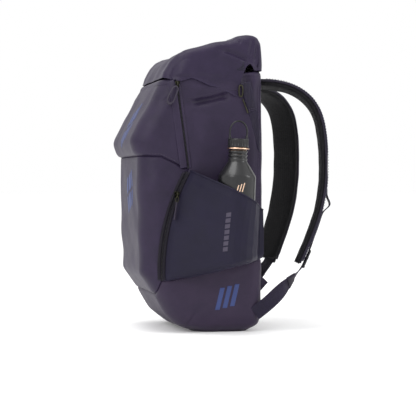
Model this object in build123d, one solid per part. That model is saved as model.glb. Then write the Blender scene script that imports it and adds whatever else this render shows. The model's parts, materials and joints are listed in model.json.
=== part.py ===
from build123d import *
import os
from math import asin, cos, hypot, radians, sin, sqrt, tan

# Roll-top racket backpack with a bottle in its side pocket, in millimetres.
# +X is the wearer's right, -Y the front with the pockets, +Y the back panel, +Z up.
# The origin is on the ground, at the middle of the base.

# ---- overall sizes of the bag ----
BODY_WIDTH = 250.0          # side to side
BACK_REACH = 84.0           # back panel, behind the origin
FRONT_REACH = 131.0         # face of the lower front pocket, ahead of the origin
MOUTH_HEIGHT = 438.0        # front rim of the main shell
ROLL_HEIGHT = 74.0          # ridge of the rolled top above the front rim
MOUTH_RISE = 13.0           # rear rim above the front rim

# ---- heights and setbacks of the outer shape ----
BASE_FRONT = 30.0           # flat of the base ahead of the origin
BASE_BACK = 64.0            # flat of the base behind the origin
BASE_NARROWING = 29.0       # side of the base flat inside the body's side
CHAMFER_HEIGHT = 58.0       # lower edge of the sloping front chamfer
CHAMFER_SETBACK = 34.0
CORNER_HEIGHT = 104.0       # upper edge of the front chamfer
CORNER_SETBACK = 6.0
STEP_HEIGHT = 300.0         # top of the lower pocket's face
BULGE = 12.0                # overhang of the upper pocket
BULGE_HEIGHT = 328.0
SLOPE_SETBACK = 42.0        # face of the upper pocket at the rim, behind the step
FRONT_CORNER = 34.0         # plan radius of the front corners
REAR_CORNER = 22.0          # plan radius of the rear corners
ROLL_CORNER = 16.0          # plan radius at the ridge

# ---- seams that part the panels, as (y, z) in side view ----
ZIP_TOP_REACH = 69.0        # upper side seam at the rim, ahead of the origin
KNUCKLE = (-48.0, 281.0)    # where both side zips and the side pocket meet
ZIP_FOOT = (-94.0, 90.0)    # lower end of the lower side zip
ZIP_SAGITTA = 14.0          # bow of the lower side zip towards the front
LIP_BREAK = (-95.0, 303.0)  # underside of the upper pocket turns level here
BASE_SEAM_REAR = 128.0      # base seam's height at the back panel
POCKET_REAR_TOP = 210.0     # side pocket's top edge at the back panel

# ---- walls ----
FABRIC = 3.0                # coated fabric, foam and lining
BASE_WALL = 4.0
STRETCH_WALL = 2.5          # stretch fabric of the side pockets
BODY_GAP = 0.5              # between pieces that move apart

# ---- zips ----
TAPE_WIDTH = 9.0
TAPE_THICK = 1.4
FLAP_WIDTH = 11.0
FLAP_THICK = 2.4
SLIDER_SIZE = (4.2, 7.0, 11.0)
PULL_THICK = 2.6
UPPER_PULL = (12.0, 40.0)   # loop pull, width and length
UPPER_PULL_BORE = 6.0
UPPER_PULL_LEAN = 26.0      # degrees forward from hanging
UPPER_SLIDER_DROP = 12.0    # below the front rim
LOWER_PULL = (6.5, 44.0)
LOWER_PULL_LEAN = 8.0
LOWER_PULL_FLARE = 4.0      # degrees outward, over the pocket's fabric
LOWER_SLIDER_HEIGHT = 238.0
SLIDER_GAP = 2.0            # over the tape, for the side's slight bow

# ---- inside ----
STIFFENER = (210.0, 2.0, 370.0)
DIVIDER = (200.0, 8.0, 300.0)
DIVIDER_GAP = 1.0
FLOOR_FOAM = (156.0, 84.0, 8.0)
LINING_GAP = 1.0

# ---- back panel ----
PAD_THICK = 7.0
SIDE_PAD = (52.0, 250.0)
SIDE_PAD_X = 52.0
SIDE_PAD_LOW = 120.0
LUMBAR_PAD = (150.0, 58.0)
LUMBAR_LOW = 48.0
YOKE = (178.0, 5.0, 34.0)

# ---- rolled top ----
ROLL_RADIUS = 17.0
ROLL_BORE = 6.0
ROLL_Y = 58.0
ROLL_DROP = 24.0            # axis of the roll below the ridge
STRIP = (196.0, 1.6, 9.0)
END_TAB = (14.0, 2.0, 16.0)

# ---- closure at each side ----
CLOSURE_WIDTH = 17.0
CLOSURE_LENGTH = 50.0
CLOSURE_THICK = 2.2
CLOSURE_Y = 52.0
CLOSURE_DROP = 8.0          # top of the strap below the front rim
CLOSURE_LEAN = 14.0         # degrees back from upright
CLOSURE_TAIL = 66.0
HOOK_DROP = 14.0
HOOK_WIRE = 1.3
HOOK_SIZE = (9.0, 22.0)

# ---- shoulder straps ----
STRAP_WIDTH = 62.0
PAD_LAYER = 10.0
COVER_LAYER = 4.0
STRAP_ROOT_X = 56.0
STRAP_ROOT_DROP = 6.0       # below the front rim's height
STRAP_TURN = {"right": 12.0, "left": 28.0}
STRAP_SPREAD = {"right": 4.0, "left": 2.0}
STRAP_REACH = 121.0         # furthest from the back panel
STRAP_FOOT = 117.0          # height of the strap's lower end
ROOT_GAP = 2.0
WEBBING_WIDTH = 25.0
WEBBING_THICK = 2.0
WEBBING_SPAN = (0.70, 0.91) # sewn webbing's two ends, as shares of the strap
LOCK_SIZE = (30.0, 34.0, 6.0)
LOCK_SLOT = (25.8, 6.0)
LOCK_GAP = 0.8
ANCHOR = (76.0, 38.0)       # y and z of the lower webbing's sewn end
ANCHOR_GAP = 1.6
WEBBING_SHARE = 0.62        # fixed part of the lower webbing, from its anchor
TAB_HEIGHTS = (66.0, 84.0, 100.0)
TAB_REACH = 16.0
HAUL_LOOP = (44.0, 36.0, 4.0)
HAUL_GAP = (20.0, 14.0)     # finger gap in the haul loop
HAUL_RISE = 6.0             # top of the loop above the yoke's lower edge
HAUL_CLEARANCE = 1.5        # behind the yoke, for the loop's swing
TAB_INSET = 30.0            # anchor tab inside the body's side
TAB_THICK = 3.0

# ---- bottle ----
BOTTLE_RADIUS = 32.0
BOTTLE_WALL = 1.2
BOTTLE_BODY = 146.0         # straight part
BOTTLE_SHOULDER = 24.0
NECK_RADIUS = 14.0
NECK_LENGTH = 26.0
CAP_RADIUS = 17.5
CAP_HEIGHT = 15.0
CAP_OVERLAP = 4.0           # cap's skirt down over the neck
RING_THICK = 2.2
LOOP_HEIGHT = 31.0
LOOP_WIRE = 3.0
BOTTLE_Y = 23.0
BOTTLE_LEAN = 2.0
BOTTLE_STANDOFF = 6.5       # between the bottle and the body's side
POCKET_EASE = 1.5           # around the bottle
EAR_GAP = 1.5               # under the carry loop's ends
EMPTY_POCKET_RADIUS = 11.0  # slack of the pocket with nothing in it

HALF_WIDTH = BODY_WIDTH / 2
RIDGE_HEIGHT = MOUTH_HEIGHT + ROLL_HEIGHT
FAR = 400.0                 # beyond every outline, for cutting regions


def sections():
    """Height, front reach, back reach, side inset and corner radii, from the ground to the ridge."""
    low = [
        (0.0, BASE_FRONT, BASE_BACK, BASE_NARROWING, FRONT_CORNER, REAR_CORNER),
        (12.0, BASE_FRONT + 30, BACK_REACH - 4, 13.0, FRONT_CORNER, REAR_CORNER),
        (30.0, BASE_FRONT + 50, BACK_REACH, 8.0, FRONT_CORNER, REAR_CORNER),
        (CHAMFER_HEIGHT, FRONT_REACH - CHAMFER_SETBACK, BACK_REACH, 5.0, FRONT_CORNER, REAR_CORNER),
        (CORNER_HEIGHT, FRONT_REACH - CORNER_SETBACK, BACK_REACH, 2.0, FRONT_CORNER, REAR_CORNER),
        (STEP_HEIGHT, FRONT_REACH, BACK_REACH, 0.0, FRONT_CORNER, REAR_CORNER),
    ]
    bulge = FRONT_REACH + BULGE
    rim = FRONT_REACH - SLOPE_SETBACK
    high = [
        (STEP_HEIGHT + 12, bulge - 4, BACK_REACH, 0.0, FRONT_CORNER, REAR_CORNER),
        (BULGE_HEIGHT, bulge, BACK_REACH, 0.0, FRONT_CORNER, REAR_CORNER),
        (BULGE_HEIGHT + 8, bulge - 2, BACK_REACH, 0.0, FRONT_CORNER, REAR_CORNER),
        (MOUTH_HEIGHT, rim, BACK_REACH, 4.0, FRONT_CORNER, REAR_CORNER),
        (MOUTH_HEIGHT + 32, rim - 15, BACK_REACH, 5.0, FRONT_CORNER, REAR_CORNER),
        (MOUTH_HEIGHT + 49, rim - 38, BACK_REACH, 6.0, FRONT_CORNER, REAR_CORNER),
        (RIDGE_HEIGHT - 4, 8 - ROLL_Y + ROLL_RADIUS, BACK_REACH - 2, 9.0, ROLL_CORNER, ROLL_CORNER),
        (RIDGE_HEIGHT, 4 - ROLL_Y + ROLL_RADIUS, BACK_REACH - 7, 12.0, ROLL_CORNER, ROLL_CORNER),
    ]
    return low + high


def plan_face(height, front, back, inset, front_corner, rear_corner, grow):
    """One plan section: a rectangle with two front and two rear corner radii."""
    side = HALF_WIDTH - inset + grow
    corners = [(side, -front - grow), (side, back + grow), (-side, back + grow), (-side, -front - grow)]
    face = make_face(Polyline(*corners, close=True))
    rear = face.vertices().group_by(Axis.Y)[-1]
    face = fillet(rear, rear_corner + grow)
    ahead = face.vertices().group_by(Axis.Y)[0]
    face = fillet(ahead, front_corner + grow)
    return Pos(0, 0, height) * face


def envelope(grow=0.0):
    """Outer shape of the whole bag, grown outward by an amount, or inward when it is negative."""
    rows = sections()
    faces = []
    for index, row in enumerate(rows):
        shift = 0.0
        if index == 0:
            shift = -grow
        if index == len(rows) - 1:
            shift = grow
        faces.append(plan_face(row[0] + shift, *row[1:], grow))
    return loft(Sketch() + faces, ruled=True)


def side_x(y, height):
    """X of the right side's surface at a place in side view, round the corners too."""
    rows = sections()
    for low, high in zip(rows, rows[1:]):
        if low[0] <= height <= high[0]:
            share = (height - low[0]) / (high[0] - low[0])
            front, back, inset, ahead, behind = [a + share * (b - a) for a, b in zip(low[1:], high[1:])]
    side = HALF_WIDTH - inset
    past = max(-front + ahead - y, 0)
    radius = ahead
    if y > back - behind:
        past = y - back + behind
        radius = behind
    return side - radius + sqrt(radius ** 2 - past ** 2)


def slab(face, low_x=-FAR, high_x=FAR):
    """A side-view outline, drawn as (y, z), extended across the bag."""
    return extrude(Plane.YZ.offset(low_x) * face, amount=high_x - low_x)


def region(*points):
    """Side-view face through straight points."""
    return make_face(Polyline(*points, close=True))


def zip_bow():
    """Centre, as (y, z), and radius of the arc that the lower side zip follows."""
    run = ZIP_FOOT[0] - KNUCKLE[0], ZIP_FOOT[1] - KNUCKLE[1]
    chord = hypot(*run)
    radius = chord ** 2 / (8 * ZIP_SAGITTA) + ZIP_SAGITTA / 2
    middle = (KNUCKLE[0] + ZIP_FOOT[0]) / 2, (KNUCKLE[1] + ZIP_FOOT[1]) / 2
    back = radius - ZIP_SAGITTA
    centre = middle[0] - run[1] / chord * back, middle[1] + run[0] / chord * back
    return centre, radius


def seam_y(height, setback=0.0):
    """Y of the seam between the main shell and the front pockets at a height."""
    if height >= KNUCKLE[1]:
        share = (height - KNUCKLE[1]) / (MOUTH_HEIGHT - KNUCKLE[1])
        return KNUCKLE[0] + share * (-ZIP_TOP_REACH - KNUCKLE[0]) + setback
    centre, radius = zip_bow()
    level = max(height, ZIP_FOOT[1])
    return centre[0] - sqrt(radius ** 2 - (level - centre[1]) ** 2) + setback


def seam_line(setback=0.0):
    """Side-view edges of that seam, top to bottom, moved back by setback."""
    top = (-ZIP_TOP_REACH + setback, MOUTH_HEIGHT)
    knuckle = (KNUCKLE[0] + setback, KNUCKLE[1])
    middle_z = (KNUCKLE[1] + ZIP_FOOT[1]) / 2
    foot = (ZIP_FOOT[0] + setback, ZIP_FOOT[1])
    bow = ThreePointArc(knuckle, (seam_y(middle_z, setback), middle_z), foot)
    return Line(top, knuckle), bow


def behind_seam(setback=0.0):
    """Everything behind the pocket seam."""
    line, bow = seam_line(setback)
    top = line @ 0
    foot = bow @ 1
    rest = Polyline(foot, (foot.X, -FAR), (FAR, -FAR), (FAR, FAR * 2), (top.X, FAR * 2), top)
    return slab(make_face([line, bow, *rest.edges()]))


def ahead_of_seam(setback=0.0):
    """Everything ahead of the pocket seam, down to the front chamfer."""
    line, bow = seam_line(setback)
    top = line @ 0
    foot = bow @ 1
    rest = Polyline(foot, (foot.X - 10, CHAMFER_HEIGHT), (-FAR, CHAMFER_HEIGHT), (-FAR, FAR * 2),
                    (top.X, FAR * 2), top)
    return slab(make_face([line, bow, *rest.edges()]))


def above_base(lift=0.0):
    """Everything above the base seam, which rises from the zip's foot to the back."""
    slope = (BASE_SEAM_REAR - ZIP_FOOT[1]) / (BACK_REACH - ZIP_FOOT[0])
    rear = ZIP_FOOT[1] + slope * (FAR - ZIP_FOOT[0])
    front = (ZIP_FOOT[0] - 10, CHAMFER_HEIGHT + lift)
    return slab(region((-FAR, CHAMFER_HEIGHT + lift), front, (ZIP_FOOT[0], ZIP_FOOT[1] + lift),
                       (FAR, rear + lift), (FAR, FAR * 2), (-FAR, FAR * 2)))


def above_mouth(lift=0.0):
    """Everything above the rim of the mouth."""
    slope = MOUTH_RISE / (BACK_REACH + ZIP_TOP_REACH)
    rear = MOUTH_HEIGHT + slope * (FAR + ZIP_TOP_REACH)
    return slab(region((-FAR, MOUTH_HEIGHT + lift), (-ZIP_TOP_REACH, MOUTH_HEIGHT + lift),
                       (FAR, rear + lift), (FAR, FAR * 2), (-FAR, FAR * 2)))


def above_lip(lift=0.0):
    """Everything above the underside of the upper pocket."""
    return slab(region((-FAR, LIP_BREAK[1] + lift), (LIP_BREAK[0], LIP_BREAK[1] + lift),
                       (KNUCKLE[0], KNUCKLE[1] + lift), (FAR, KNUCKLE[1] + lift),
                       (FAR, FAR * 2), (-FAR, FAR * 2)))


def main_shell(outer, inner):
    """Fabric tube of the main compartment, open at the mouth and to the base bowl."""
    tube = outer & behind_seam() & above_base()
    tube = tube - above_mouth()
    return tube - (inner & behind_seam(FABRIC))


def base_panel(outer):
    """Bowl-shaped bottom, open towards the main shell."""
    hollow = envelope(-BASE_WALL) & behind_seam(BASE_WALL)
    return outer - above_base() - hollow


def upper_front_pocket(outer, inner):
    """Overhanging pocket, a tray against the main shell's front wall."""
    block = (outer & ahead_of_seam() & above_lip()) - above_mouth()
    hollow = (inner & ahead_of_seam() & above_lip(FABRIC)) - above_mouth(-FABRIC)
    return block - hollow


def lower_front_pocket(outer, inner):
    """Lower pocket, a tray against the main shell's front wall."""
    block = (outer & ahead_of_seam()) - above_lip()
    hollow = (inner & ahead_of_seam() & above_base(FABRIC)) - above_lip(-FABRIC)
    return block - hollow


def bottle_axis_y(height):
    """Y of the leaning bottle's axis at a height."""
    return BOTTLE_Y + tan(radians(BOTTLE_LEAN)) * (height - bottle_floor())


def base_seam_height(y):
    """Height of the base seam at a place between front and back."""
    share = (y - ZIP_FOOT[0]) / (BACK_REACH - ZIP_FOOT[0])
    return ZIP_FOOT[1] + share * (BASE_SEAM_REAR - ZIP_FOOT[1])


def bottle_floor():
    """Height at which the bottle stands, clear of the pocket's sloping floor."""
    return base_seam_height(BOTTLE_Y + BOTTLE_RADIUS) + STRETCH_WALL + 1.0


def bottle_x():
    """X of the bottle's axis, clear of the body's side."""
    return HALF_WIDTH + BOTTLE_STANDOFF + BOTTLE_RADIUS


def pocket_hull(height, radius, centre_x, extra, front_trim):
    """Plan section of stretched fabric: round what it holds and straight to both seams."""
    y = bottle_axis_y(height)
    front = seam_y(height, TAPE_WIDTH / 2 + LINING_GAP + BODY_GAP + front_trim)
    rear = BACK_REACH - REAR_CORNER / 2 - front_trim
    inside = HALF_WIDTH - 6
    disc = CenterArc((centre_x, y), radius + extra, 0, 360)
    anchor = Polyline((inside, front), (HALF_WIDTH - 0.5, front), (HALF_WIDTH - 0.5, rear), (inside, rear))
    return Pos(0, 0, height) * make_hull([disc, *anchor.edges()])


def pocket_solid(radius, centre_x, extra, front_trim):
    """Loft of the plan sections from below the base seam to the knuckle."""
    low, high = ZIP_FOOT[1], KNUCKLE[1]
    levels = [low - 10] + [low + (high - low) * step / 5 for step in range(1, 6)]
    faces = [pocket_hull(level, radius, centre_x, extra, front_trim) for level in levels]
    return loft(Sketch() + faces, ruled=True)


def side_pocket(outer, radius, centre_x):
    """Stretch pocket on the right side, open along its sloping top edge."""
    skin = pocket_solid(radius, centre_x, STRETCH_WALL, 0.0)
    room = pocket_solid(radius, centre_x, 0.0, STRETCH_WALL) & above_base(STRETCH_WALL)
    slope = (POCKET_REAR_TOP - KNUCKLE[1]) / (BACK_REACH - KNUCKLE[0])
    rear_top = KNUCKLE[1] + slope * (FAR - KNUCKLE[0])
    front_top = KNUCKLE[1] + slope * (-FAR - KNUCKLE[0])
    below_top = slab(region((-FAR, front_top), (FAR, rear_top), (FAR, -FAR), (-FAR, -FAR)), 0.0, FAR)
    return (skin & above_base() & below_top) - room - outer


def bow_band(width, low, high):
    """Side-view strip along the lower zip's arc between two heights."""
    centre, radius = zip_bow()
    start, end = [asin((height - centre[1]) / radius) for height in (low, high)]
    rows = []
    for reach in (radius - width / 2, radius + width / 2):
        angles = (start, (start + end) / 2, end)
        rows.append([(centre[0] - reach * cos(angle), centre[1] + reach * sin(angle)) for angle in angles])
    ends = [Line(rows[0][0], rows[1][0]), Line(rows[0][2], rows[1][2])]
    return make_face([ThreePointArc(*rows[0]), ThreePointArc(*rows[1]), *ends])


def side_sheet(outer, face, thick, low_x=0.0, high_x=FAR):
    """A thin layer on the outside of the bag, with a side-view outline."""
    return (envelope(thick) & slab(face, low_x, high_x)) - outer


def upper_zip_line():
    """Ends, as (y, z), of the straight part of the upper zip."""
    top = (-ZIP_TOP_REACH, MOUTH_HEIGHT - 4)
    low = (seam_y(KNUCKLE[1] + 4), KNUCKLE[1] + 4)
    return top, low


def strip_outline(ahead, width):
    """Side-view outline of a strip beside the upper zip line, its middle moved ahead."""
    top, low = upper_zip_line()
    half = width / 2
    return region((top[0] - ahead - half, top[1]), (top[0] - ahead + half, top[1]),
                  (low[0] - ahead + half, low[1]), (low[0] - ahead - half, low[1]))


def upper_zip_track(outer):
    """Zip tape up one side of the upper pocket, across its top, and down the other side."""
    sides = side_sheet(outer, strip_outline(0.0, TAPE_WIDTH), TAPE_THICK, -FAR, FAR)
    low, high = MOUTH_HEIGHT - 4 - TAPE_WIDTH, MOUTH_HEIGHT - 4
    front = region((-FAR, low), (-ZIP_TOP_REACH, low), (-ZIP_TOP_REACH, high), (-FAR, high))
    return sides + side_sheet(outer, front, TAPE_THICK, -FAR, FAR)


def zip_flap(outer, low_x, high_x):
    """Storm flap in front of the upper zip on one side, below the cross tape."""
    ahead = (TAPE_WIDTH + FLAP_WIDTH) / 2 + 0.2
    top = MOUTH_HEIGHT - 4 - TAPE_WIDTH - BODY_GAP
    above = region((-FAR, top), (FAR, top), (FAR, FAR * 2), (-FAR, FAR * 2))
    strip = strip_outline(ahead, FLAP_WIDTH) - above
    return side_sheet(outer, strip, FLAP_THICK, low_x, high_x)


def slider(at, tilt):
    """Zip slider on the right side: a rounded block with a bridge for its pull."""
    thick, wide, long = SLIDER_SIZE
    block = fillet(Box(thick, wide, long).edges(), 1.0)
    bridge = Pos(thick / 2 + 0.6, 0, 0) * Box(2.0, 2.4, 5.0)
    return Pos(*at) * Rot(X=tilt) * (block + bridge)


def pull(at, lean, flare, size, bore):
    """Flat pull that hangs from a slider, with a bore when it is a loop."""
    width, length = size
    outline = SlotOverall(length, width, rotation=90)
    if bore:
        outline = outline - SlotOverall(length - width + bore, bore, rotation=90)
    plate = extrude(Plane.YZ * Pos(0, -length / 2) * outline, amount=PULL_THICK)
    return Pos(*at) * Rot(X=-lean) * Rot(Y=-flare) * plate


def upper_slider_place():
    """Centre of the upper slider at the top of its run, outside the tape."""
    z = MOUTH_HEIGHT - UPPER_SLIDER_DROP
    y = seam_y(z)
    return side_x(y, z) + TAPE_THICK + SLIDER_GAP + SLIDER_SIZE[0] / 2, y, z


def lower_slider_place():
    """Centre of the lower slider on its arc, outside the tape."""
    z = LOWER_SLIDER_HEIGHT
    return HALF_WIDTH + TAPE_THICK + BODY_GAP + SLIDER_SIZE[0] / 2, seam_y(z), z


def pull_place(slider_at):
    """Top of a pull, just outside its slider's bridge."""
    return slider_at[0] + SLIDER_SIZE[0] / 2 + 1.6 + BODY_GAP, slider_at[1], slider_at[2] - 1.0


def back_stiffener():
    """Plastic sheet just inside the back panel."""
    wide, thick, tall = STIFFENER
    y = BACK_REACH - FABRIC - LINING_GAP - thick / 2
    low = MOUTH_HEIGHT - 24 - tall
    return Pos(0, y, low + tall / 2) * Box(wide - 2 * REAR_CORNER / 2, thick, tall)


def racket_divider():
    """Padded divider ahead of the stiffener."""
    wide, thick, tall = DIVIDER
    y = BACK_REACH - FABRIC - LINING_GAP - STIFFENER[1] - DIVIDER_GAP - thick / 2
    low = BASE_SEAM_REAR
    return Pos(0, y, low + tall / 2) * fillet(Box(wide, thick, tall).edges(), 2.5)


def base_foam():
    """Foam plate on the floor of the base bowl."""
    wide, deep, thick = FLOOR_FOAM
    y = (BASE_BACK - BASE_FRONT) / 2
    return Pos(0, y, BASE_WALL + LINING_GAP + thick / 2) * Box(wide, deep, thick)


def back_pad(wide, tall, x, low):
    """Mesh pad on the back panel."""
    block = Box(wide, PAD_THICK, tall)
    block = fillet(block.edges().filter_by(Axis.Y), 14)
    block = fillet(block.faces().sort_by(Axis.Y)[-1].edges(), 3)
    return Pos(x, BACK_REACH + PAD_THICK / 2, low + tall / 2) * block


def yoke_height():
    """Height of the strap yoke's middle, where the straps are sewn in."""
    return MOUTH_HEIGHT - STRAP_ROOT_DROP


def strap_yoke():
    """Stitched panel across the back that holds both strap roots and the haul loop."""
    wide, thick, tall = YOKE
    block = fillet(Box(wide, thick, tall).edges().filter_by(Axis.Y), 6)
    return Pos(0, BACK_REACH + thick / 2, yoke_height()) * block


def haul_top():
    """Height of the haul loop's sewn edge, low on the yoke."""
    return yoke_height() - YOKE[2] / 2 + HAUL_RISE


def haul_loop():
    """Rolled webbing loop that hangs flat between the straps from the yoke."""
    wide, tall, thick = HAUL_LOOP
    ring = RectangleRounded(wide, tall, 9) - RectangleRounded(*HAUL_GAP, 5)
    plate = extrude(Plane.XZ * ring, amount=thick / 2, both=True)
    y = BACK_REACH + YOKE[1] + HAUL_CLEARANCE + thick / 2
    return Pos(0, y, haul_top() - tall / 2) * plate


def roll_top_hood(outer, inner):
    """Front panel folded over the mouth, with a rear wall and open roll ends."""
    shell = (outer & above_mouth(BODY_GAP)) - inner
    roll_z = RIDGE_HEIGHT - ROLL_DROP
    window = slab(region((ROLL_Y - 16, roll_z + 12), (ROLL_Y + 14, roll_z + 12),
                         (ROLL_Y + 16, roll_z - 24), (ROLL_Y - 20, roll_z - 24)))
    return shell - window


def rolled_mouth():
    """The mouth's hem, rolled up about its own axis inside the hood."""
    length = BODY_WIDTH - 34
    tube = Cylinder(ROLL_RADIUS, length) - Cylinder(ROLL_BORE, length)
    return Pos(0, ROLL_Y, RIDGE_HEIGHT - ROLL_DROP) * Rot(Y=90) * tube


def mouth_strip(side_y):
    """Stiffener strip that lies in the bore of the roll."""
    wide, thick, tall = STRIP
    return Pos(0, ROLL_Y + side_y, RIDGE_HEIGHT - ROLL_DROP) * Box(wide, thick, tall)


def roll_end_tab():
    """Webbing tab under the right end of the roll, which the closure hook catches."""
    wide, thick, tall = END_TAB
    y = CLOSURE_Y - CLOSURE_WIDTH / 2
    z = MOUTH_HEIGHT + MOUTH_RISE + BODY_GAP + tall / 2
    return Pos(side_x(y, z) + BODY_GAP + thick / 2, y, z) * Box(thick, wide, tall)


def closure_outline():
    """Side-view outline of the closure strap, tapering to a narrow tail in the back seam."""
    y, z = CLOSURE_Y, MOUTH_HEIGHT - CLOSURE_DROP
    foot = (y + CLOSURE_LENGTH * tan(radians(CLOSURE_LEAN)), z - CLOSURE_LENGTH)
    half = CLOSURE_WIDTH / 2
    tip = (BACK_REACH - REAR_CORNER / 2, foot[1] - CLOSURE_TAIL)
    return region((y - half, z), (y + half, z), (foot[0] + half, foot[1]), (tip[0] + 2, tip[1]),
                  (tip[0] - 2, tip[1]), (foot[0] - half, foot[1]))


def closure_hook():
    """Bent wire hook on the front edge of the closure strap, on the right side."""
    wide, tall = HOOK_SIZE
    y = CLOSURE_Y - CLOSURE_WIDTH / 2
    z = MOUTH_HEIGHT - CLOSURE_DROP - HOOK_DROP
    hole = SlotOverall(tall - 4 * HOOK_WIRE, wide - 4 * HOOK_WIRE, rotation=90)
    ring = extrude(Plane.YZ * (SlotOverall(tall, wide, rotation=90) - hole), amount=2 * HOOK_WIRE)
    return Pos(side_x(y, z) + CLOSURE_THICK + BODY_GAP, y, z) * ring


def strap_plane(side):
    """Plane of one strap's arc on the right: x away from the back, y up, z outward."""
    turn = radians(STRAP_TURN[side])
    spread = radians(STRAP_SPREAD[side])
    away = Vector(sin(turn), cos(turn), 0)
    outward = Vector(cos(turn), -sin(turn), 0)
    normal = outward * cos(spread) + Vector(0, 0, 1) * sin(spread)
    return Plane(origin=(STRAP_ROOT_X, BACK_REACH, yoke_height()), x_dir=away, z_dir=normal)


def strap_path():
    """Middle of the strap from its root to its lower end, in the strap's own plane."""
    drop = yoke_height() - STRAP_FOOT
    return Spline((0, 0), (STRAP_REACH * 0.42, -4), (STRAP_REACH * 0.82, -34), (STRAP_REACH, -drop * 0.36),
                  (STRAP_REACH * 0.98, -drop * 0.61), (STRAP_REACH * 0.81, -drop * 0.84),
                  (STRAP_REACH * 0.63, -drop), tangents=((1, 0), (-0.45, -1)))


def strap_layer(side, low, high, start, stop, width):
    """Layer between two offsets from the strap's middle, between two shares of its length."""
    path = strap_path()
    shares = [start + (stop - start) * step / 10 for step in range(11)]
    rows = []
    for shift in (low, high):
        row = []
        for share in shares:
            ahead = path % share
            row.append(path @ share + Vector(-ahead.Y, ahead.X, 0) * shift)
        rows.append(row)
    edges = [Spline(*rows[0]), Spline(*rows[1]), Line(rows[0][0], rows[1][0]), Line(rows[0][-1], rows[1][-1])]
    face = make_face(edges)
    return extrude(strap_plane(side) * face, amount=width / 2, both=True)


def clear_of_yoke():
    """Space behind the yoke's face where the straps may be."""
    low = BACK_REACH + YOKE[1] + ROOT_GAP
    return Pos(0, low + FAR / 2, 0) * Box(FAR * 2, FAR, FAR * 4)


def strap_pad(side):
    """Foam and mesh on the wearer's side of the strap."""
    half = (PAD_LAYER + COVER_LAYER) / 2
    return strap_layer(side, -half, half - COVER_LAYER, 0.0, 1.0, STRAP_WIDTH) & clear_of_yoke()


def strap_cover(side):
    """Fabric layer on the outer side of the strap."""
    half = (PAD_LAYER + COVER_LAYER) / 2
    return strap_layer(side, half - COVER_LAYER, half, 0.0, 0.985, STRAP_WIDTH) & clear_of_yoke()


def strap_webbing(side):
    """Webbing sewn along the outer face of the strap's lower part."""
    low = (PAD_LAYER + COVER_LAYER) / 2 + 0.3
    return strap_layer(side, low, low + WEBBING_THICK, *WEBBING_SPAN, WEBBING_WIDTH)


def lock_plane(side):
    """Plane at the strap's lower end: x outward across the lock, y along the strap, z off it."""
    path = strap_path()
    base = strap_plane(side)
    ahead = path % 1.0
    half = (PAD_LAYER + COVER_LAYER) / 2 + LOCK_GAP
    place = path @ 0.955 + Vector(-ahead.Y, ahead.X, 0) * half
    normal = base.x_dir * -ahead.Y + base.y_dir * ahead.X
    return Plane(origin=base.from_local_coords(place), x_dir=base.z_dir, z_dir=normal)


def ladder_lock(side):
    """Two-slot webbing adjuster at the lower end of the strap."""
    wide, long, thick = LOCK_SIZE
    frame = fillet(Box(wide, long, thick).edges().filter_by(Axis.Z), 4)
    for shift in (-8.0, 4.0):
        frame = frame - Pos(0, shift, 0) * Box(LOCK_SLOT[0], LOCK_SLOT[1], thick * 2)
    return lock_plane(side) * Pos(0, 6, thick / 2) * frame


def lower_webbing(side):
    """Webbing from its sewn end beside the rear corner towards the ladder lock."""
    y, z = ANCHOR
    start = Vector(side_x(BACK_REACH - REAR_CORNER, z) + ANCHOR_GAP, y, z)
    run = lock_plane(side).origin - start
    across = run.cross(Vector(1, 0, 0))
    plane = Plane(origin=start, x_dir=across, z_dir=run)
    return extrude(plane * Rectangle(WEBBING_WIDTH, WEBBING_THICK), amount=run.length * WEBBING_SHARE)


def anchor_tab(outer):
    """Triangular tab on the back panel above the lower webbing."""
    low, middle, high = TAB_HEIGHTS
    face = region((BACK_REACH - 2, low), (BACK_REACH + TAB_REACH, middle), (BACK_REACH - 2, high))
    return slab(face, HALF_WIDTH - TAB_INSET - TAB_THICK, HALF_WIDTH - TAB_INSET) - outer


def bottle_place():
    """Bottle's foot: its axis leans back a little in the pocket."""
    return Pos(bottle_x(), BOTTLE_Y, bottle_floor()) * Rot(X=-BOTTLE_LEAN)


def bottle_profile(inset):
    """Half outline of the bottle body, inset by a wall."""
    radius = BOTTLE_RADIUS - inset
    neck = NECK_RADIUS - inset
    shoulder = BOTTLE_BODY + BOTTLE_SHOULDER
    top = shoulder + NECK_LENGTH
    return radius, neck, shoulder, top


def bottle_body():
    """Steel bottle with a cone shoulder and a narrow neck, hollow."""
    solids = []
    for inset in (0.0, BOTTLE_WALL):
        radius, neck, shoulder, top = bottle_profile(inset)
        outline = Polyline((0, inset), (radius - 2, inset), (radius, inset + 3), (radius, BOTTLE_BODY),
                           (neck, shoulder), (neck, top), (0, top), close=True)
        solids.append(revolve(Plane.XZ * make_face(outline), Axis.Z))
    return bottle_place() * (solids[0] - solids[1])


def neck_top():
    """Height of the neck's rim above the bottle's foot."""
    return BOTTLE_BODY + BOTTLE_SHOULDER + NECK_LENGTH


def cap_ring():
    """Coloured ring on the neck, just below the cap."""
    ring = Cylinder(CAP_RADIUS + 1.5, RING_THICK) - Cylinder(NECK_RADIUS, RING_THICK)
    return bottle_place() * Pos(0, 0, neck_top() - CAP_OVERLAP - RING_THICK / 2) * ring


def bottle_cap():
    """Screw cap with grip ribs and two ears for the carry loop."""
    low = neck_top() - CAP_OVERLAP + BODY_GAP
    cap = Cylinder(CAP_RADIUS, CAP_HEIGHT)
    cap = cap - Pos(0, 0, -CAP_HEIGHT / 2) * Cylinder(NECK_RADIUS + BODY_GAP, 2 * CAP_OVERLAP + 5.0)
    for location in PolarLocations(CAP_RADIUS + 0.6, 24):
        cap = cap - location * Cylinder(1.0, CAP_HEIGHT * 0.7)
    return bottle_place() * Pos(0, 0, low + CAP_HEIGHT / 2) * cap


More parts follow.
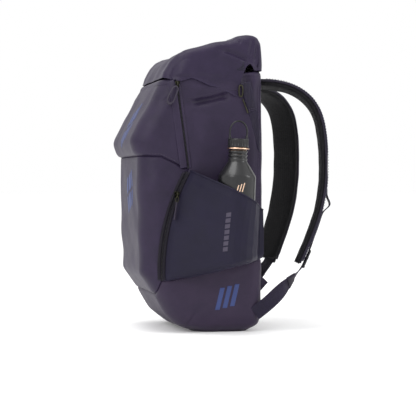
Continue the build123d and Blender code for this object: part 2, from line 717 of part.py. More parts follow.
def gasket():
    """Silicone sealing ring between the neck's rim and the cap."""
    ring = Cylinder(NECK_RADIUS - 0.5, 1.6) - Cylinder(NECK_RADIUS - 4, 1.6)
    return bottle_place() * Pos(0, 0, neck_top() + BODY_GAP + 0.8 + 0.9) * ring


def bottle_loop():
    """Carry loop hinged across the cap."""
    low = neck_top() - CAP_OVERLAP + BODY_GAP + CAP_HEIGHT
    half = CAP_RADIUS - LOOP_WIRE
    spring = LOOP_HEIGHT * 0.45
    foot, knee = (-half, 0), (-half, spring)
    arch = ThreePointArc(knee, (0, LOOP_HEIGHT - LOOP_WIRE), (half, spring))
    path = Plane.YZ * Wire([Line(foot, knee), arch, Line((half, spring), (half, 0))])
    wire = sweep(Pos(0, -half, 0) * Circle(LOOP_WIRE / 2 + 0.5), path)
    return bottle_place() * Pos(0, 0, low + BODY_GAP + EAR_GAP) * wire


def on_left(piece):
    """The same piece on the wearer's left."""
    return mirror(piece, about=Plane.YZ)


def build():
    """Every named piece of the bag and bottle."""
    outer = envelope()
    inner = envelope(-FABRIC)
    pieces = {
        "main_shell": main_shell(outer, inner),
        "base_panel": base_panel(outer),
        "upper_front_pocket": upper_front_pocket(outer, inner),
        "lower_front_pocket": lower_front_pocket(outer, inner),
        "side_pocket_right": side_pocket(outer, BOTTLE_RADIUS + POCKET_EASE, bottle_x()),
        "side_pocket_left": on_left(side_pocket(outer, EMPTY_POCKET_RADIUS, HALF_WIDTH + EMPTY_POCKET_RADIUS)),
        "roll_top_hood": roll_top_hood(outer, inner),
        "rolled_mouth": rolled_mouth(),
        "mouth_strip_front": mouth_strip(-STRIP[1]),
        "mouth_strip_rear": mouth_strip(STRIP[1]),
        "upper_zip_track": upper_zip_track(outer),
        "zip_flap_right": zip_flap(outer, 0.0, FAR),
        "zip_flap_left": zip_flap(outer, -FAR, 0.0),
        "lower_zip_track": side_sheet(outer, bow_band(TAPE_WIDTH, ZIP_FOOT[1] + 2, KNUCKLE[1] - 6), TAPE_THICK),
        "back_stiffener": back_stiffener(),
        "racket_divider": racket_divider(),
        "base_foam": base_foam(),
        "back_pad_right": back_pad(*SIDE_PAD, SIDE_PAD_X, SIDE_PAD_LOW),
        "back_pad_left": back_pad(*SIDE_PAD, -SIDE_PAD_X, SIDE_PAD_LOW),
        "lumbar_pad": back_pad(*LUMBAR_PAD, 0.0, LUMBAR_LOW),
        "strap_yoke": strap_yoke(),
        "haul_loop": haul_loop(),
        "upper_zip_slider": slider(upper_slider_place(), 8.0),
        "upper_zip_pull": pull(pull_place(upper_slider_place()), UPPER_PULL_LEAN, 0.0, UPPER_PULL, UPPER_PULL_BORE),
        "lower_zip_slider": slider(lower_slider_place(), -18.0),
        "lower_zip_pull": pull(pull_place(lower_slider_place()), LOWER_PULL_LEAN, LOWER_PULL_FLARE, LOWER_PULL, 0.0),
        "bottle_body": bottle_body(),
        "cap_ring": cap_ring(),
        "bottle_cap": bottle_cap(),
        "cap_gasket": gasket(),
        "bottle_loop": bottle_loop(),
    }
    closure = side_sheet(outer, closure_outline(), CLOSURE_THICK)
    for side, place in (("right", lambda piece: piece), ("left", on_left)):
        pieces["closure_strap_" + side] = place(closure)
        pieces["closure_hook_" + side] = place(closure_hook())
        pieces["roll_end_tab_" + side] = place(roll_end_tab())
        pieces["shoulder_pad_" + side] = place(strap_pad(side))
        pieces["shoulder_cover_" + side] = place(strap_cover(side))
        pieces["strap_webbing_" + side] = place(strap_webbing(side))
        pieces["ladder_lock_" + side] = place(ladder_lock(side))
        pieces["lower_webbing_" + side] = place(lower_webbing(side))
        pieces["anchor_tab_" + side] = place(anchor_tab(outer))
    return pieces


os.makedirs("parts", exist_ok=True)
for name, piece in build().items():
    export_step(piece, "parts/" + name + ".step")
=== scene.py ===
"""Roll-top racket backpack with a steel bottle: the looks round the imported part."""

import json
import logging
import math
from dataclasses import dataclass, field
from enum import Enum
from typing import Callable

import bmesh
import bpy
import numpy as np
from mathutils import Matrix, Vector
from mathutils.bvhtree import BVHTree


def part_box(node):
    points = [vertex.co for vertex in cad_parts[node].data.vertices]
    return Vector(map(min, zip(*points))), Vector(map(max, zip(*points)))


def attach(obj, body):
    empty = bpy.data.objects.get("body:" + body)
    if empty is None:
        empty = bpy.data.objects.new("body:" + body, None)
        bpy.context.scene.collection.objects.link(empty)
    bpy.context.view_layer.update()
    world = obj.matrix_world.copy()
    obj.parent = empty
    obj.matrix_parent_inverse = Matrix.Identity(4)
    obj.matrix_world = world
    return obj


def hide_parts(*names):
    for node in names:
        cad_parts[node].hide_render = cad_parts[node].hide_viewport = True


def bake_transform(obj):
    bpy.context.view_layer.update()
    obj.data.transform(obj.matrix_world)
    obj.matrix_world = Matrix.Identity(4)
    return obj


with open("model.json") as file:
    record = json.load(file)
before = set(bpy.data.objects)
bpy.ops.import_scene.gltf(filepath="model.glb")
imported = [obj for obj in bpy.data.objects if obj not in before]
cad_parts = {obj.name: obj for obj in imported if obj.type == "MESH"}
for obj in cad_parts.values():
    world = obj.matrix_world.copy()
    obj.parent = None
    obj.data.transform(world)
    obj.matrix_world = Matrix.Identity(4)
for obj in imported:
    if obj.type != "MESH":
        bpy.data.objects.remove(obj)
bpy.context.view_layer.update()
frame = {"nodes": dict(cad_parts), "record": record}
LOG = logging.getLogger("backpack")
CLOTH_GLOSS = 0.24  # textiles reflect less of the white room than moulded pieces do
HARD_GLOSS = 0.4
MM = 0.001  # the sizes below are in millimetres, as in the part's own drawing
Grid = np.ndarray
Field = Callable[[Grid], Grid]


# ---------------------------------------------------------------- finishes


def linear(code: str) -> tuple[float, float, float, float]:
    """Turn an sRGB hex colour into a linear one.

    Args:
        code: the colour as six hex digits after a hash sign.

    Returns:
        Linear red, green, blue and an alpha of one.
    """
    parts = [int(code[i:i + 2], 16) / 255 for i in (1, 3, 5)]
    curve = [c / 12.92 if c <= 0.04045 else ((c + 0.055) / 1.055) ** 2.4 for c in parts]
    return (*curve, 1.0)


def add_node(tree: bpy.types.NodeTree, kind: str, settings: dict | None = None,
             **sockets: object) -> bpy.types.Node:
    """Add a node, set its properties, and fill or link its inputs.

    Args:
        tree: the node tree.
        kind: the node's type name.
        settings: properties of the node by name.
        sockets: input values or output sockets; "in_0" stands for the first input,
            and an underscore for a space in a named input.

    Returns:
        The new node.
    """
    node = tree.nodes.new(kind)
    for name, value in (settings or {}).items():
        setattr(node, name, value)
    for name, value in sockets.items():
        key = int(name[3:]) if name.startswith("in_") else name.replace("_", " ")
        if isinstance(value, bpy.types.NodeSocket):
            tree.links.new(value, node.inputs[key])
        else:
            node.inputs[key].default_value = value
    return node


class Weave(Enum):
    """How the threads or cells of a surface lie."""

    PLAIN = "plain"
    RIB = "rib"
    TWILL = "twill"
    MESH = "mesh"
    MOULDED = "moulded"


@dataclass(frozen=True)
class Cloth:
    """A woven, knitted or mesh textile with thread relief, mottling and a soft sheen."""

    name: str
    light: str
    dark: str
    weave: Weave
    pitch: float
    relief: float
    roughness: float
    sheen: float
    wear: float = 0.35

    def build(self) -> bpy.types.Material:
        """Make the material.

        Returns:
            A node material in object space, so that threads keep their size on every piece.
        """
        mat = bpy.data.materials.new(self.name)
        mat.use_nodes = True
        tree = mat.node_tree
        tree.nodes.clear()
        place = add_node(tree, "ShaderNodeTexCoord").outputs["Object"]
        height = self.threads(tree, place)
        cloud = add_node(tree, "ShaderNodeTexNoise", Vector=place, Scale=28.0, Detail=5.0, Roughness=0.6)
        grain = add_node(tree, "ShaderNodeTexNoise", Vector=place, Scale=900.0, Detail=2.0)
        tone = add_node(tree, "ShaderNodeMath", {"operation": "MULTIPLY_ADD"}, in_0=grain.outputs["Fac"],
                        in_1=0.35, in_2=cloud.outputs["Fac"])
        ramp = add_node(tree, "ShaderNodeMapRange", Value=tone.outputs[0], From_Min=0.45, From_Max=0.95)
        base = add_node(tree, "ShaderNodeMix", {"data_type": "RGBA"}, Factor=ramp.outputs[0],
                        in_6=linear(self.dark), in_7=linear(self.light))
        pointed = add_node(tree, "ShaderNodeNewGeometry").outputs["Pointiness"]
        edge = add_node(tree, "ShaderNodeMapRange", Value=pointed, From_Min=0.52, From_Max=0.62,
                        To_Max=self.wear)
        patch_and_edge_tone = add_node(tree, "ShaderNodeMix", {"data_type": "RGBA", "blend_type": "SCREEN"},
                        Factor=edge.outputs[0], in_6=base.outputs[2], in_7=linear("#3A3547"))
        # painted shade: the colour is darkened in the thread gaps, and far more in the mesh cells
        gaps = add_node(tree, "ShaderNodeMapRange", Value=height, From_Min=0.0, From_Max=0.55,
                        To_Min=0.62 if self.weave is not Weave.MESH else 0.12)
        shade = add_node(tree, "ShaderNodeMix", {"data_type": "RGBA", "blend_type": "MULTIPLY"}, Factor=1.0,
                         in_6=patch_and_edge_tone.outputs[2], in_7=gaps.outputs[0])
        bump = add_node(tree, "ShaderNodeBump", Height=height, Strength=self.relief,
                        Distance=self.pitch * 0.35 * MM)
        soft = add_node(tree, "ShaderNodeBump", Height=cloud.outputs["Fac"], Strength=0.10, Distance=0.004,
                        Normal=bump.outputs[0])
        rough = add_node(tree, "ShaderNodeMapRange", Value=cloud.outputs["Fac"], To_Min=self.roughness - 0.06,
                         To_Max=self.roughness + 0.08)
        skin = add_node(tree, "ShaderNodeBsdfPrincipled", Base_Color=shade.outputs[2],
                        Roughness=rough.outputs[0],
                        Normal=soft.outputs[0], Sheen_Weight=self.sheen, Sheen_Roughness=0.45,
                        Specular_IOR_Level=CLOTH_GLOSS,
                        Sheen_Tint=linear("#8E86A6"))
        add_node(tree, "ShaderNodeOutputMaterial", Surface=skin.outputs[0])
        return mat

    def threads(self, tree: bpy.types.NodeTree, place: bpy.types.NodeSocket) -> bpy.types.NodeSocket:
        """Relief of the threads or cells.

        Args:
            tree: the node tree.
            place: object coordinates in metres.

        Returns:
            A height from 0 in the gaps to 1 on the threads.
        """
        turns = 2 * math.pi / (self.pitch * MM)
        if self.weave is Weave.MESH:
            cells = add_node(tree, "ShaderNodeTexVoronoi", {"feature": "DISTANCE_TO_EDGE"}, Vector=place,
                             Scale=1 / (self.pitch * MM), Randomness=0.35)
            wall = add_node(tree, "ShaderNodeMapRange", Value=cells.outputs["Distance"], From_Min=0.06,
                            From_Max=0.34, To_Min=1.0, To_Max=0.0)
            return wall.outputs[0]
        parts = add_node(tree, "ShaderNodeSeparateXYZ", Vector=place)
        flat = add_node(tree, "ShaderNodeMath", {"operation": "ADD"}, in_0=parts.outputs[0],
                        in_1=parts.outputs[1])
        across = flat.outputs[0]
        if self.weave is Weave.TWILL:
            fold = add_node(tree, "ShaderNodeMath", {"operation": "PINGPONG"}, in_0=across,
                            in_1=self.pitch * 2 * MM)
            across = add_node(tree, "ShaderNodeMath", {"operation": "ADD"}, in_0=fold.outputs[0],
                              in_1=parts.outputs[2]).outputs[0]
        waves = []
        for axis in (across, parts.outputs[2]):
            phase = add_node(tree, "ShaderNodeMath", {"operation": "MULTIPLY"}, in_0=axis, in_1=turns)
            wave = add_node(tree, "ShaderNodeMath", {"operation": "SINE"}, in_0=phase.outputs[0])
            waves.append(add_node(tree, "ShaderNodeMath", {"operation": "MULTIPLY_ADD"}, in_0=wave.outputs[0],
                                  in_1=0.5, in_2=0.5).outputs[0])
        if self.weave is Weave.RIB:
            return waves[1]
        if self.weave is Weave.TWILL:
            return waves[0]
        return add_node(tree, "ShaderNodeMath", {"operation": "MAXIMUM"}, in_0=waves[0],
                        in_1=waves[1]).outputs[0]


@dataclass(frozen=True)
class Hard:
    """A moulded, cast, coated or printed surface with fine grain and slight unevenness."""

    name: str
    colour: str
    patch_and_edge_tone: str
    metallic: float
    roughness: float
    grit: float
    relief: float
    coat: float = 0.0
    ior: float = 1.5

    def build(self) -> bpy.types.Material:
        """Make the material.

        Returns:
            A node material with grain from grit size, and edges that are brighter: wear, and on the gunmetal
            a painted glint.
        """
        mat = bpy.data.materials.new(self.name)
        mat.use_nodes = True
        tree = mat.node_tree
        tree.nodes.clear()
        place = add_node(tree, "ShaderNodeTexCoord").outputs["Object"]
        grain = add_node(tree, "ShaderNodeTexNoise", Vector=place, Scale=1 / (self.grit * MM), Detail=3.0)
        cloud = add_node(tree, "ShaderNodeTexNoise", Vector=place, Scale=60.0, Detail=4.0)
        pointed = add_node(tree, "ShaderNodeNewGeometry").outputs["Pointiness"]
        # brighter sharp edges: wear, and on the gunmetal, whose edge tone is khaki, a painted glint
        edge = add_node(tree, "ShaderNodeMapRange", Value=pointed, From_Min=0.53, From_Max=0.68, To_Max=0.6)
        patchy = add_node(tree, "ShaderNodeMapRange", Value=cloud.outputs["Fac"], From_Min=0.35, From_Max=0.8,
                          To_Max=0.18)
        mixed = add_node(tree, "ShaderNodeMath", {"operation": "ADD", "use_clamp": True},
                         in_0=edge.outputs[0],
                         in_1=patchy.outputs[0])
        tone = add_node(tree, "ShaderNodeMix", {"data_type": "RGBA"}, Factor=mixed.outputs[0],
                        in_6=linear(self.colour), in_7=linear(self.patch_and_edge_tone))
        rough = add_node(tree, "ShaderNodeMapRange", Value=cloud.outputs["Fac"], To_Min=self.roughness - 0.05,
                         To_Max=self.roughness + 0.07)
        bump = add_node(tree, "ShaderNodeBump", Height=grain.outputs["Fac"], Strength=self.relief,
                        Distance=self.grit * 0.3 * MM)
        skin = add_node(tree, "ShaderNodeBsdfPrincipled", Base_Color=tone.outputs[2],
                        Roughness=rough.outputs[0],
                        Normal=bump.outputs[0], Metallic=self.metallic, Coat_Weight=self.coat, IOR=self.ior,
                        Specular_IOR_Level=HARD_GLOSS)
        add_node(tree, "ShaderNodeOutputMaterial", Surface=skin.outputs[0])
        return mat


@dataclass
class Finishes:
    """Every material of the bag and the bottle, made once."""

    # PU-coated 600 denier polyester: matte, with a faint thread grid and a low sheen on folds.
    # Its threads lie 0.5 mm apart; the grid is drawn 1.1 mm apart, so that it shows.
    body: Cloth = Cloth("coated polyester, plain woven", "#2B2139", "#20182D", Weave.PLAIN, 1.1, 0.16, 0.50,
                        0.04)
    # The same cloth at the bowl of the base, a shade warmer and drier from the ground.
    base: Cloth = Cloth("coated polyester, base panel", "#31263B", "#261D32", Weave.PLAIN, 1.1, 0.18, 0.54,
                        0.04)
    # The hood is the lighter cut of that cloth: softer, so light slides over its folds.
    hood: Cloth = Cloth("coated polyester, light cut", "#291F38", "#1E152D", Weave.PLAIN, 1.0, 0.12, 0.47,
                        0.04)
    # Stretch woven polyamide: bluer, with fine cross ribs and a dry surface; 0.6 mm ribs drawn at 1.2 mm.
    stretch: Cloth = Cloth("stretch polyamide, ribbed", "#17122B", "#110D23", Weave.RIB, 1.2, 0.22, 0.60,
                           0.04, 0.25)
    # Knitted spacer mesh: near black, with open cells 2.6 mm across whose hollows are darkened by painted
    # shade.
    mesh: Cloth = Cloth("spacer mesh, knitted", "#0F0D12", "#07070A", Weave.MESH, 2.6, 0.9, 0.75, 0.01, 0.1)
    # Polyester webbing in herringbone: slanted floats 1.6 mm apart with a dull lustre.
    webbing: Cloth = Cloth("polyester webbing, herringbone", "#221A34", "#191326", Weave.TWILL, 1.6, 0.8,
                           0.52, 0.04)
    # Grosgrain edge tape: narrow cross ribs in the body's darker shade.
    tape: Cloth = Cloth("grosgrain tape", "#221A2B", "#161220", Weave.RIB, 1.0, 0.6, 0.6, 0.03)
    # Knitted zip tape: flat and nearly black, partly its own colour and partly painted shadow between two
    # cloths.
    zip_tape: Cloth = Cloth("knitted zip tape", "#15101D", "#0E0A14", Weave.TWILL, 1.2, 0.5, 0.65, 0.01)
    # Lining: thin slate-coloured taffeta with a slight shine inside the mouth.
    lining: Cloth = Cloth("polyester taffeta lining", "#2A2A35", "#1E1E28", Weave.PLAIN, 0.9, 0.2, 0.42, 0.03)
    # Bonded polyester thread: a hair lighter than the cloth, so rows of stitches read.
    thread: Hard = Hard("bonded polyester thread", "#3F364A", "#534A5E", 0.0, 0.55, 0.4, 0.4)
    # Closed-cell foam: cut faces with small open pores.
    foam: Hard = Hard("closed-cell foam, skived", "#26242A", "#323037", 0.0, 0.85, 1.4, 0.8)
    # Zinc, die-cast and gunmetal plated: olive-grey, with a painted glint in khaki along its edges.
    gunmetal: Hard = Hard("zinc die-casting, gunmetal plated", "#353429", "#635F4A", 0.85, 0.36, 0.5, 0.15)
    # Soft thermoplastic elastomer: dull dark purple grip that does not glint.
    rubber: Hard = Hard("thermoplastic elastomer, moulded", "#251E2E", "#332B3E", 0.0, 0.58, 0.7, 0.3)
    # Acetal, injection moulded with a fine spark texture: dark, with one soft highlight.
    acetal: Hard = Hard("acetal, injection moulded", "#131117", "#24212A", 0.0, 0.42, 0.6, 0.35)
    # HDPE sheet, extruded: waxy dark grey.
    sheet: Hard = Hard("HDPE sheet, extruded", "#26262B", "#34343A", 0.0, 0.38, 1.0, 0.2)
    # Stainless steel with a satin black powder coat: broad soft highlight, fine orange peel.
    steel: Hard = Hard("steel, satin black powder coat", "#121214", "#1D1D21", 0.0, 0.30, 0.9, 0.10, 0.25)
    # Copper-toned plated ring: one warm bright line under the cap.
    copper: Hard = Hard("steel ring, rose copper plated", "#E6BD9E", "#F4D8C2", 1.0, 0.24, 0.6, 0.05)
    # Polypropylene, moulded: the black cap, a little glossier than the coat.
    cap: Hard = Hard("polypropylene, moulded", "#0F0F11", "#252529", 0.0, 0.34, 0.5, 0.15)
    # Silicone, moulded: pale grey gasket inside the cap.
    silicone: Hard = Hard("silicone, moulded", "#8C8A88", "#A09E9C", 0.0, 0.5, 0.8, 0.2)
    # Screen-print ink: matte blue film that lies on the cloth and takes its grain.
    ink: Hard = Hard("screen-print ink, matte", "#2A386A", "#364477", 0.0, 0.50, 1.1, 0.35)
    # Raised grey transfer: narrow, semi-matte bars on the stretch cloth.
    transfer: Hard = Hard("heat-transfer film, grey", "#393344", "#464051", 0.0, 0.40, 1.0, 0.3)
    made: dict[str, bpy.types.Material] = field(default_factory=dict)

    def dress(self, obj: bpy.types.Object, *names: str) -> None:
        """Put finishes on an object's material slots in order.

        Args:
            obj: a mesh object.
            names: this class's field names.
        """
        obj.data.materials.clear()
        for name in names:
            if name not in self.made:
                self.made[name] = getattr(self, name).build()
            obj.data.materials.append(self.made[name])


FINISH = Finishes()


# ---------------------------------------------------------------- shared shape code


def mesh_object(name: str, points: Grid, faces: list[tuple[int, ...]],
                smooth: bool = True) -> bpy.types.Object:
    """Make a mesh object from points in millimetres.

    Args:
        name: the object's name.
        points: rows of x, y, z.
        faces: corner numbers of each face.
        smooth: whether its faces are shaded smooth.

    Returns:
        The new object, linked to the scene.
    """
    mesh = bpy.data.meshes.new(name)
    mesh.from_pydata((np.asarray(points) * MM).tolist(), [], faces)
    mesh.validate()
    if smooth:
        mesh.polygons.foreach_set("use_smooth", [True] * len(mesh.polygons))
    mesh.update()
    obj = bpy.data.objects.new(name, mesh)
    bpy.context.scene.collection.objects.link(obj)
    return obj


def grid_faces(rows: int, cols: int, loop_rows: bool = False, loop_cols: bool = False, start: int = 0,
               flip: bool = False) -> list[tuple[int, ...]]:
    """Quads of a grid of points.

    Args:
        rows: points along the first direction.
        cols: points along the second direction.
        loop_rows: whether the last row joins the first.
        loop_cols: whether the last column joins the first.
        start: number of the grid's first point.
        flip: whether the quads turn the other way.

    Returns:
        Corner numbers of the quads.
    """
    faces = []
    for i in range(rows if loop_rows else rows - 1):
        for j in range(cols if loop_cols else cols - 1):
            i2, j2 = (i + 1) % rows, (j + 1) % cols
            quad = (start + i * cols + j, start + i2 * cols + j, start + i2 * cols + j2,
                    start + i * cols + j2)
            faces.append(quad[::-1] if flip else quad)
    return faces


def grid_normals(grid: Grid) -> Grid:
    """Unit normals of a grid surface.

    Args:
        grid: points in rows and columns.

    Returns:
        A normal for each point, along rows crossed with columns.
    """
    normal = np.cross(np.gradient(grid, axis=0), np.gradient(grid, axis=1))
    return normal / np.maximum(np.linalg.norm(normal, axis=2, keepdims=True), 1e-9)


def sheet_object(name: str, grid: Grid, thick: float, loop_rows: bool = False) -> bpy.types.Object:
    """Make a closed sheet of cloth from its outer face.

    Args:
        name: the object's name.
        grid: points of the outer face, whose normals point outward.
        thick: the cloth's thickness, added inward.
        loop_rows: whether the last row joins the first.

    Returns:
        The new object, a closed solid.
    """
    rows, cols = grid.shape[:2]
    normals = grid_normals(grid)
    if loop_rows:
        wrapped = np.concatenate([grid[-2:], grid, grid[:2]])
        normals = grid_normals(wrapped)[2:-2]
    under = grid - normals * thick
    points = np.concatenate([grid.reshape(-1, 3), under.reshape(-1, 3)])
    count = rows * cols
    faces = grid_faces(rows, cols, loop_rows) + grid_faces(rows, cols, loop_rows, start=count, flip=True)
    border = []
    if loop_rows:
        for j in (0, cols - 1):
            ring = [i * cols + j for i in range(rows)] + [j]
            border.append(ring if j else ring[::-1])
    else:
        ring = [i * cols for i in range(rows)]
        ring += [(rows - 1) * cols + j for j in range(1, cols)]
        ring += [i * cols + cols - 1 for i in range(rows - 2, -1, -1)]
        ring += [j for j in range(cols - 2, -1, -1)]
        border.append(ring[::-1])
    for ring in border:
        faces += [(a, b, b + count, a + count) for a, b in zip(ring, ring[1:])]
    return mesh_object(name, points, faces)


def tube_object(name: str, path: Grid, radius: float | Grid, sides: int = 10, closed: bool = False,
                flat: float = 1.0) -> bpy.types.Object:
    """Make a round or oval tube along a path.

    Args:
        name: the object's name.
        path: points of its middle line.
        radius: one radius, or one for each point.
        sides: points round the tube.
        closed: whether the path is a loop.
        flat: height of the section as a share of its width.

    Returns:
        The new object.
    """
    points, faces = tube_mesh(path, radius, sides, closed, flat)
    return mesh_object(name, points, faces)


def tube_mesh(path: Grid, radius: float | Grid, sides: int = 10, closed: bool = False,
              flat: float = 1.0) -> tuple[Grid, list[tuple[int, ...]]]:
    """Points and faces of a tube; arguments as in tube_object.

    Args:
        path: points of its middle line.
        radius: one radius, or one for each point.
        sides: points round the tube.
        closed: whether the path is a loop.
        flat: height of the section as a share of its width.

    Returns:
        Points and faces.
    """
    path = np.asarray(path, float)
    ahead = np.roll(path, -1, 0) - np.roll(path, 1, 0) if closed else np.gradient(path, axis=0)
    ahead /= np.maximum(np.linalg.norm(ahead, axis=1, keepdims=True), 1e-9)
    side = np.cross(ahead[0], (0.31, 0.9, 0.27))
    across = []
    for direction in ahead:
        side = side - direction * (side @ direction)
        side /= np.linalg.norm(side)
        across.append(side)
    across = np.array(across)
    up = np.cross(ahead, across)
    turn = np.linspace(0, 2 * np.pi, sides, endpoint=False)
    size = np.broadcast_to(np.asarray(radius, float), (len(path),))[:, None, None]
    ring = across[:, None] * np.cos(turn)[None, :, None] + up[:, None] * np.sin(turn)[None, :, None] * flat
    points = (path[:, None] + ring * size).reshape(-1, 3)
    faces = grid_faces(len(path), sides, closed, True)
    if not closed:
        last = (len(path) - 1) * sides
        faces += [tuple(range(sides))[::-1], tuple(range(last, last + sides))]
    return points, faces


def turned_object(name: str, profile: Grid, place: Callable[[Grid], Grid],
                  sides: int = 72) -> bpy.types.Object:
    """Make a solid of revolution.

    Args:
        name: the object's name.
        profile: rows of radius and height, from bottom to top.
        place: takes points about the Z axis to where the piece stands.
        sides: points round the axis.

    Returns:
        The new object, closed at both ends.
    """
    turn = np.linspace(0, 2 * np.pi, sides, endpoint=False)
    radius, height = np.asarray(profile, float).T
    points = np.stack([radius[None] * np.cos(turn)[:, None], radius[None] * np.sin(turn)[:, None],
                       np.broadcast_to(height[None], (sides, len(height)))], axis=2)
    count = len(height)
    faces = grid_faces(sides, count, True)
    faces += [tuple(i * count for i in range(sides))[::-1],
              tuple(i * count + count - 1 for i in range(sides))]
    return mesh_object(name, place(points.reshape(-1, 3)), faces)


def merged(name: str, parts: list[tuple[Grid, list[tuple[int, ...]]]],
           smooth: bool = True) -> bpy.types.Object:
    """Make one object from several meshes.

    Args:
        name: the object's name.
        parts: points and faces of each mesh.
        smooth: whether faces are shaded smooth.

    Returns:
        The new object.
    """
    points, faces, start = [], [], 0
    for place, quads in parts:
        points.append(np.asarray(place, float))
        faces += [tuple(start + k for k in face) for face in quads]
        start += len(place)
    return mesh_object(name, np.concatenate(points), faces, smooth)


def spline(knots: Grid, count: int, ends: tuple[Grid, Grid] | None = None) -> Grid:
    """Smooth curve through points.

    Args:
        knots: the points, one a row.
        count: how many points to return, evenly spread along the curve.
        ends: directions at both ends, or none for free ends.

    Returns:
        Points of the curve.
    """
    knots = np.asarray(knots, float)
    step = np.linalg.norm(np.diff(knots, axis=0), axis=1)
    at = np.concatenate([[0], np.cumsum(step)])
    n = len(knots)
    system, right = np.zeros((n, n)), np.zeros_like(knots)
    for i in range(1, n - 1):
        system[i, i - 1:i + 2] = step[i], 2 * (step[i - 1] + step[i]), step[i - 1]
        right[i] = 3 * (step[i] * (knots[i] - knots[i - 1]) / step[i - 1]
                        + step[i - 1] * (knots[i + 1] - knots[i]) / step[i])
    if ends is None:
        system[0, :2], right[0] = (2, 1), 3 * (knots[1] - knots[0]) / step[0]
        system[-1, -2:], right[-1] = (1, 2), 3 * (knots[-1] - knots[-2]) / step[-1]
    else:
        for row, end in ((0, ends[0]), (-1, ends[1])):
            system[row, row] = 1
            right[row] = np.asarray(end, float) / np.linalg.norm(end)
    slope = np.linalg.solve(system, right)
    fine = np.linspace(0, at[-1], count * 6)
    span = np.clip(np.searchsorted(at, fine, "right") - 1, 0, n - 2)
    h = step[span][:, None]
    t = (fine - at[span])[:, None] / h
    a, b, ma, mb = knots[span], knots[span + 1], slope[span] * h, slope[span + 1] * h
    curve = ((2 * t ** 3 - 3 * t ** 2 + 1) * a + (t ** 3 - 2 * t ** 2 + t) * ma
             + (3 * t ** 2 - 2 * t ** 3) * b + (t ** 3 - t ** 2) * mb)
    return even(curve, count)


def even(curve: Grid, count: int) -> Grid:
    """Spread points evenly along a curve.

    Args:
        curve: points of the curve.
        count: how many to return.

    Returns:
        Evenly spread points.
    """
    run = np.concatenate([[0], np.cumsum(np.linalg.norm(np.diff(curve, axis=0), axis=1))])
    want = np.linspace(0, run[-1], count)
    return np.stack([np.interp(want, run, curve[:, k]) for k in range(curve.shape[1])], axis=1)


def smooth_step(value: Grid) -> Grid:
    """Ease from 0 to 1, flat at both ends."""
    share = np.clip(value, 0, 1)
    return share * share * (3 - 2 * share)


def ripple(points: Grid, seed: int, longest: float, shortest: float, count: int = 14) -> Grid:
    """Soft unevenness of cloth, the same on each run.

    Args:
        points: places in millimetres.
        seed: chooses the pattern.
        longest: longest wave.
        shortest: shortest wave.
        count: how many waves are added.

    Returns:
        Heights of about -1 to 1.
    """
    draw = np.random.default_rng(seed)
    total = np.zeros(points.shape[:-1])
    for _ in range(count):
        way = draw.normal(size=3)
        length = shortest * (longest / shortest) ** draw.random()
        share = (length / longest) ** 0.8
        along = points @ (way / np.linalg.norm(way)) * 2 * np.pi / length
        total += share * np.sin(along + draw.random() * 6.3)
    return total / (0.5 * count ** 0.5 + 0.5)


@dataclass(frozen=True)
class Fold:
    """A crease or a swell in cloth, along a line in side view, in millimetres."""

    start: tuple[float, float]
    end: tuple[float, float]
    width: float
    depth: float
    bend: float = 0.0
    sharp: float = 1.0

    def relief(self, y: Grid, z: Grid) -> Grid:
        """Height of the fold.

        Args:
            y: places along Y.
            z: places along Z.

        Returns:
            The offset outward; inward where depth is negative.
        """
        run = np.array(self.end) - np.array(self.start)
        length = np.hypot(*run)
        along = ((y - self.start[0]) * run[0] + (z - self.start[1]) * run[1]) / length ** 2
        aside = ((z - self.start[1]) * run[0] - (y - self.start[0]) * run[1]) / length
        aside = aside - self.bend * 4 * np.clip(along, 0, 1) * (1 - np.clip(along, 0, 1))
        beyond = np.maximum(np.maximum(-along, along - 1), 0) * length
        half = self.width * np.where(aside > 0, 1.0, self.sharp)
        ends = smooth_step(1 - beyond / (self.width * 2.5)) * (0.35 + 0.65 * smooth_step(
            np.minimum(along, 1 - along) * 5))
        return self.depth * ends * np.exp(-(aside / half) ** 2)


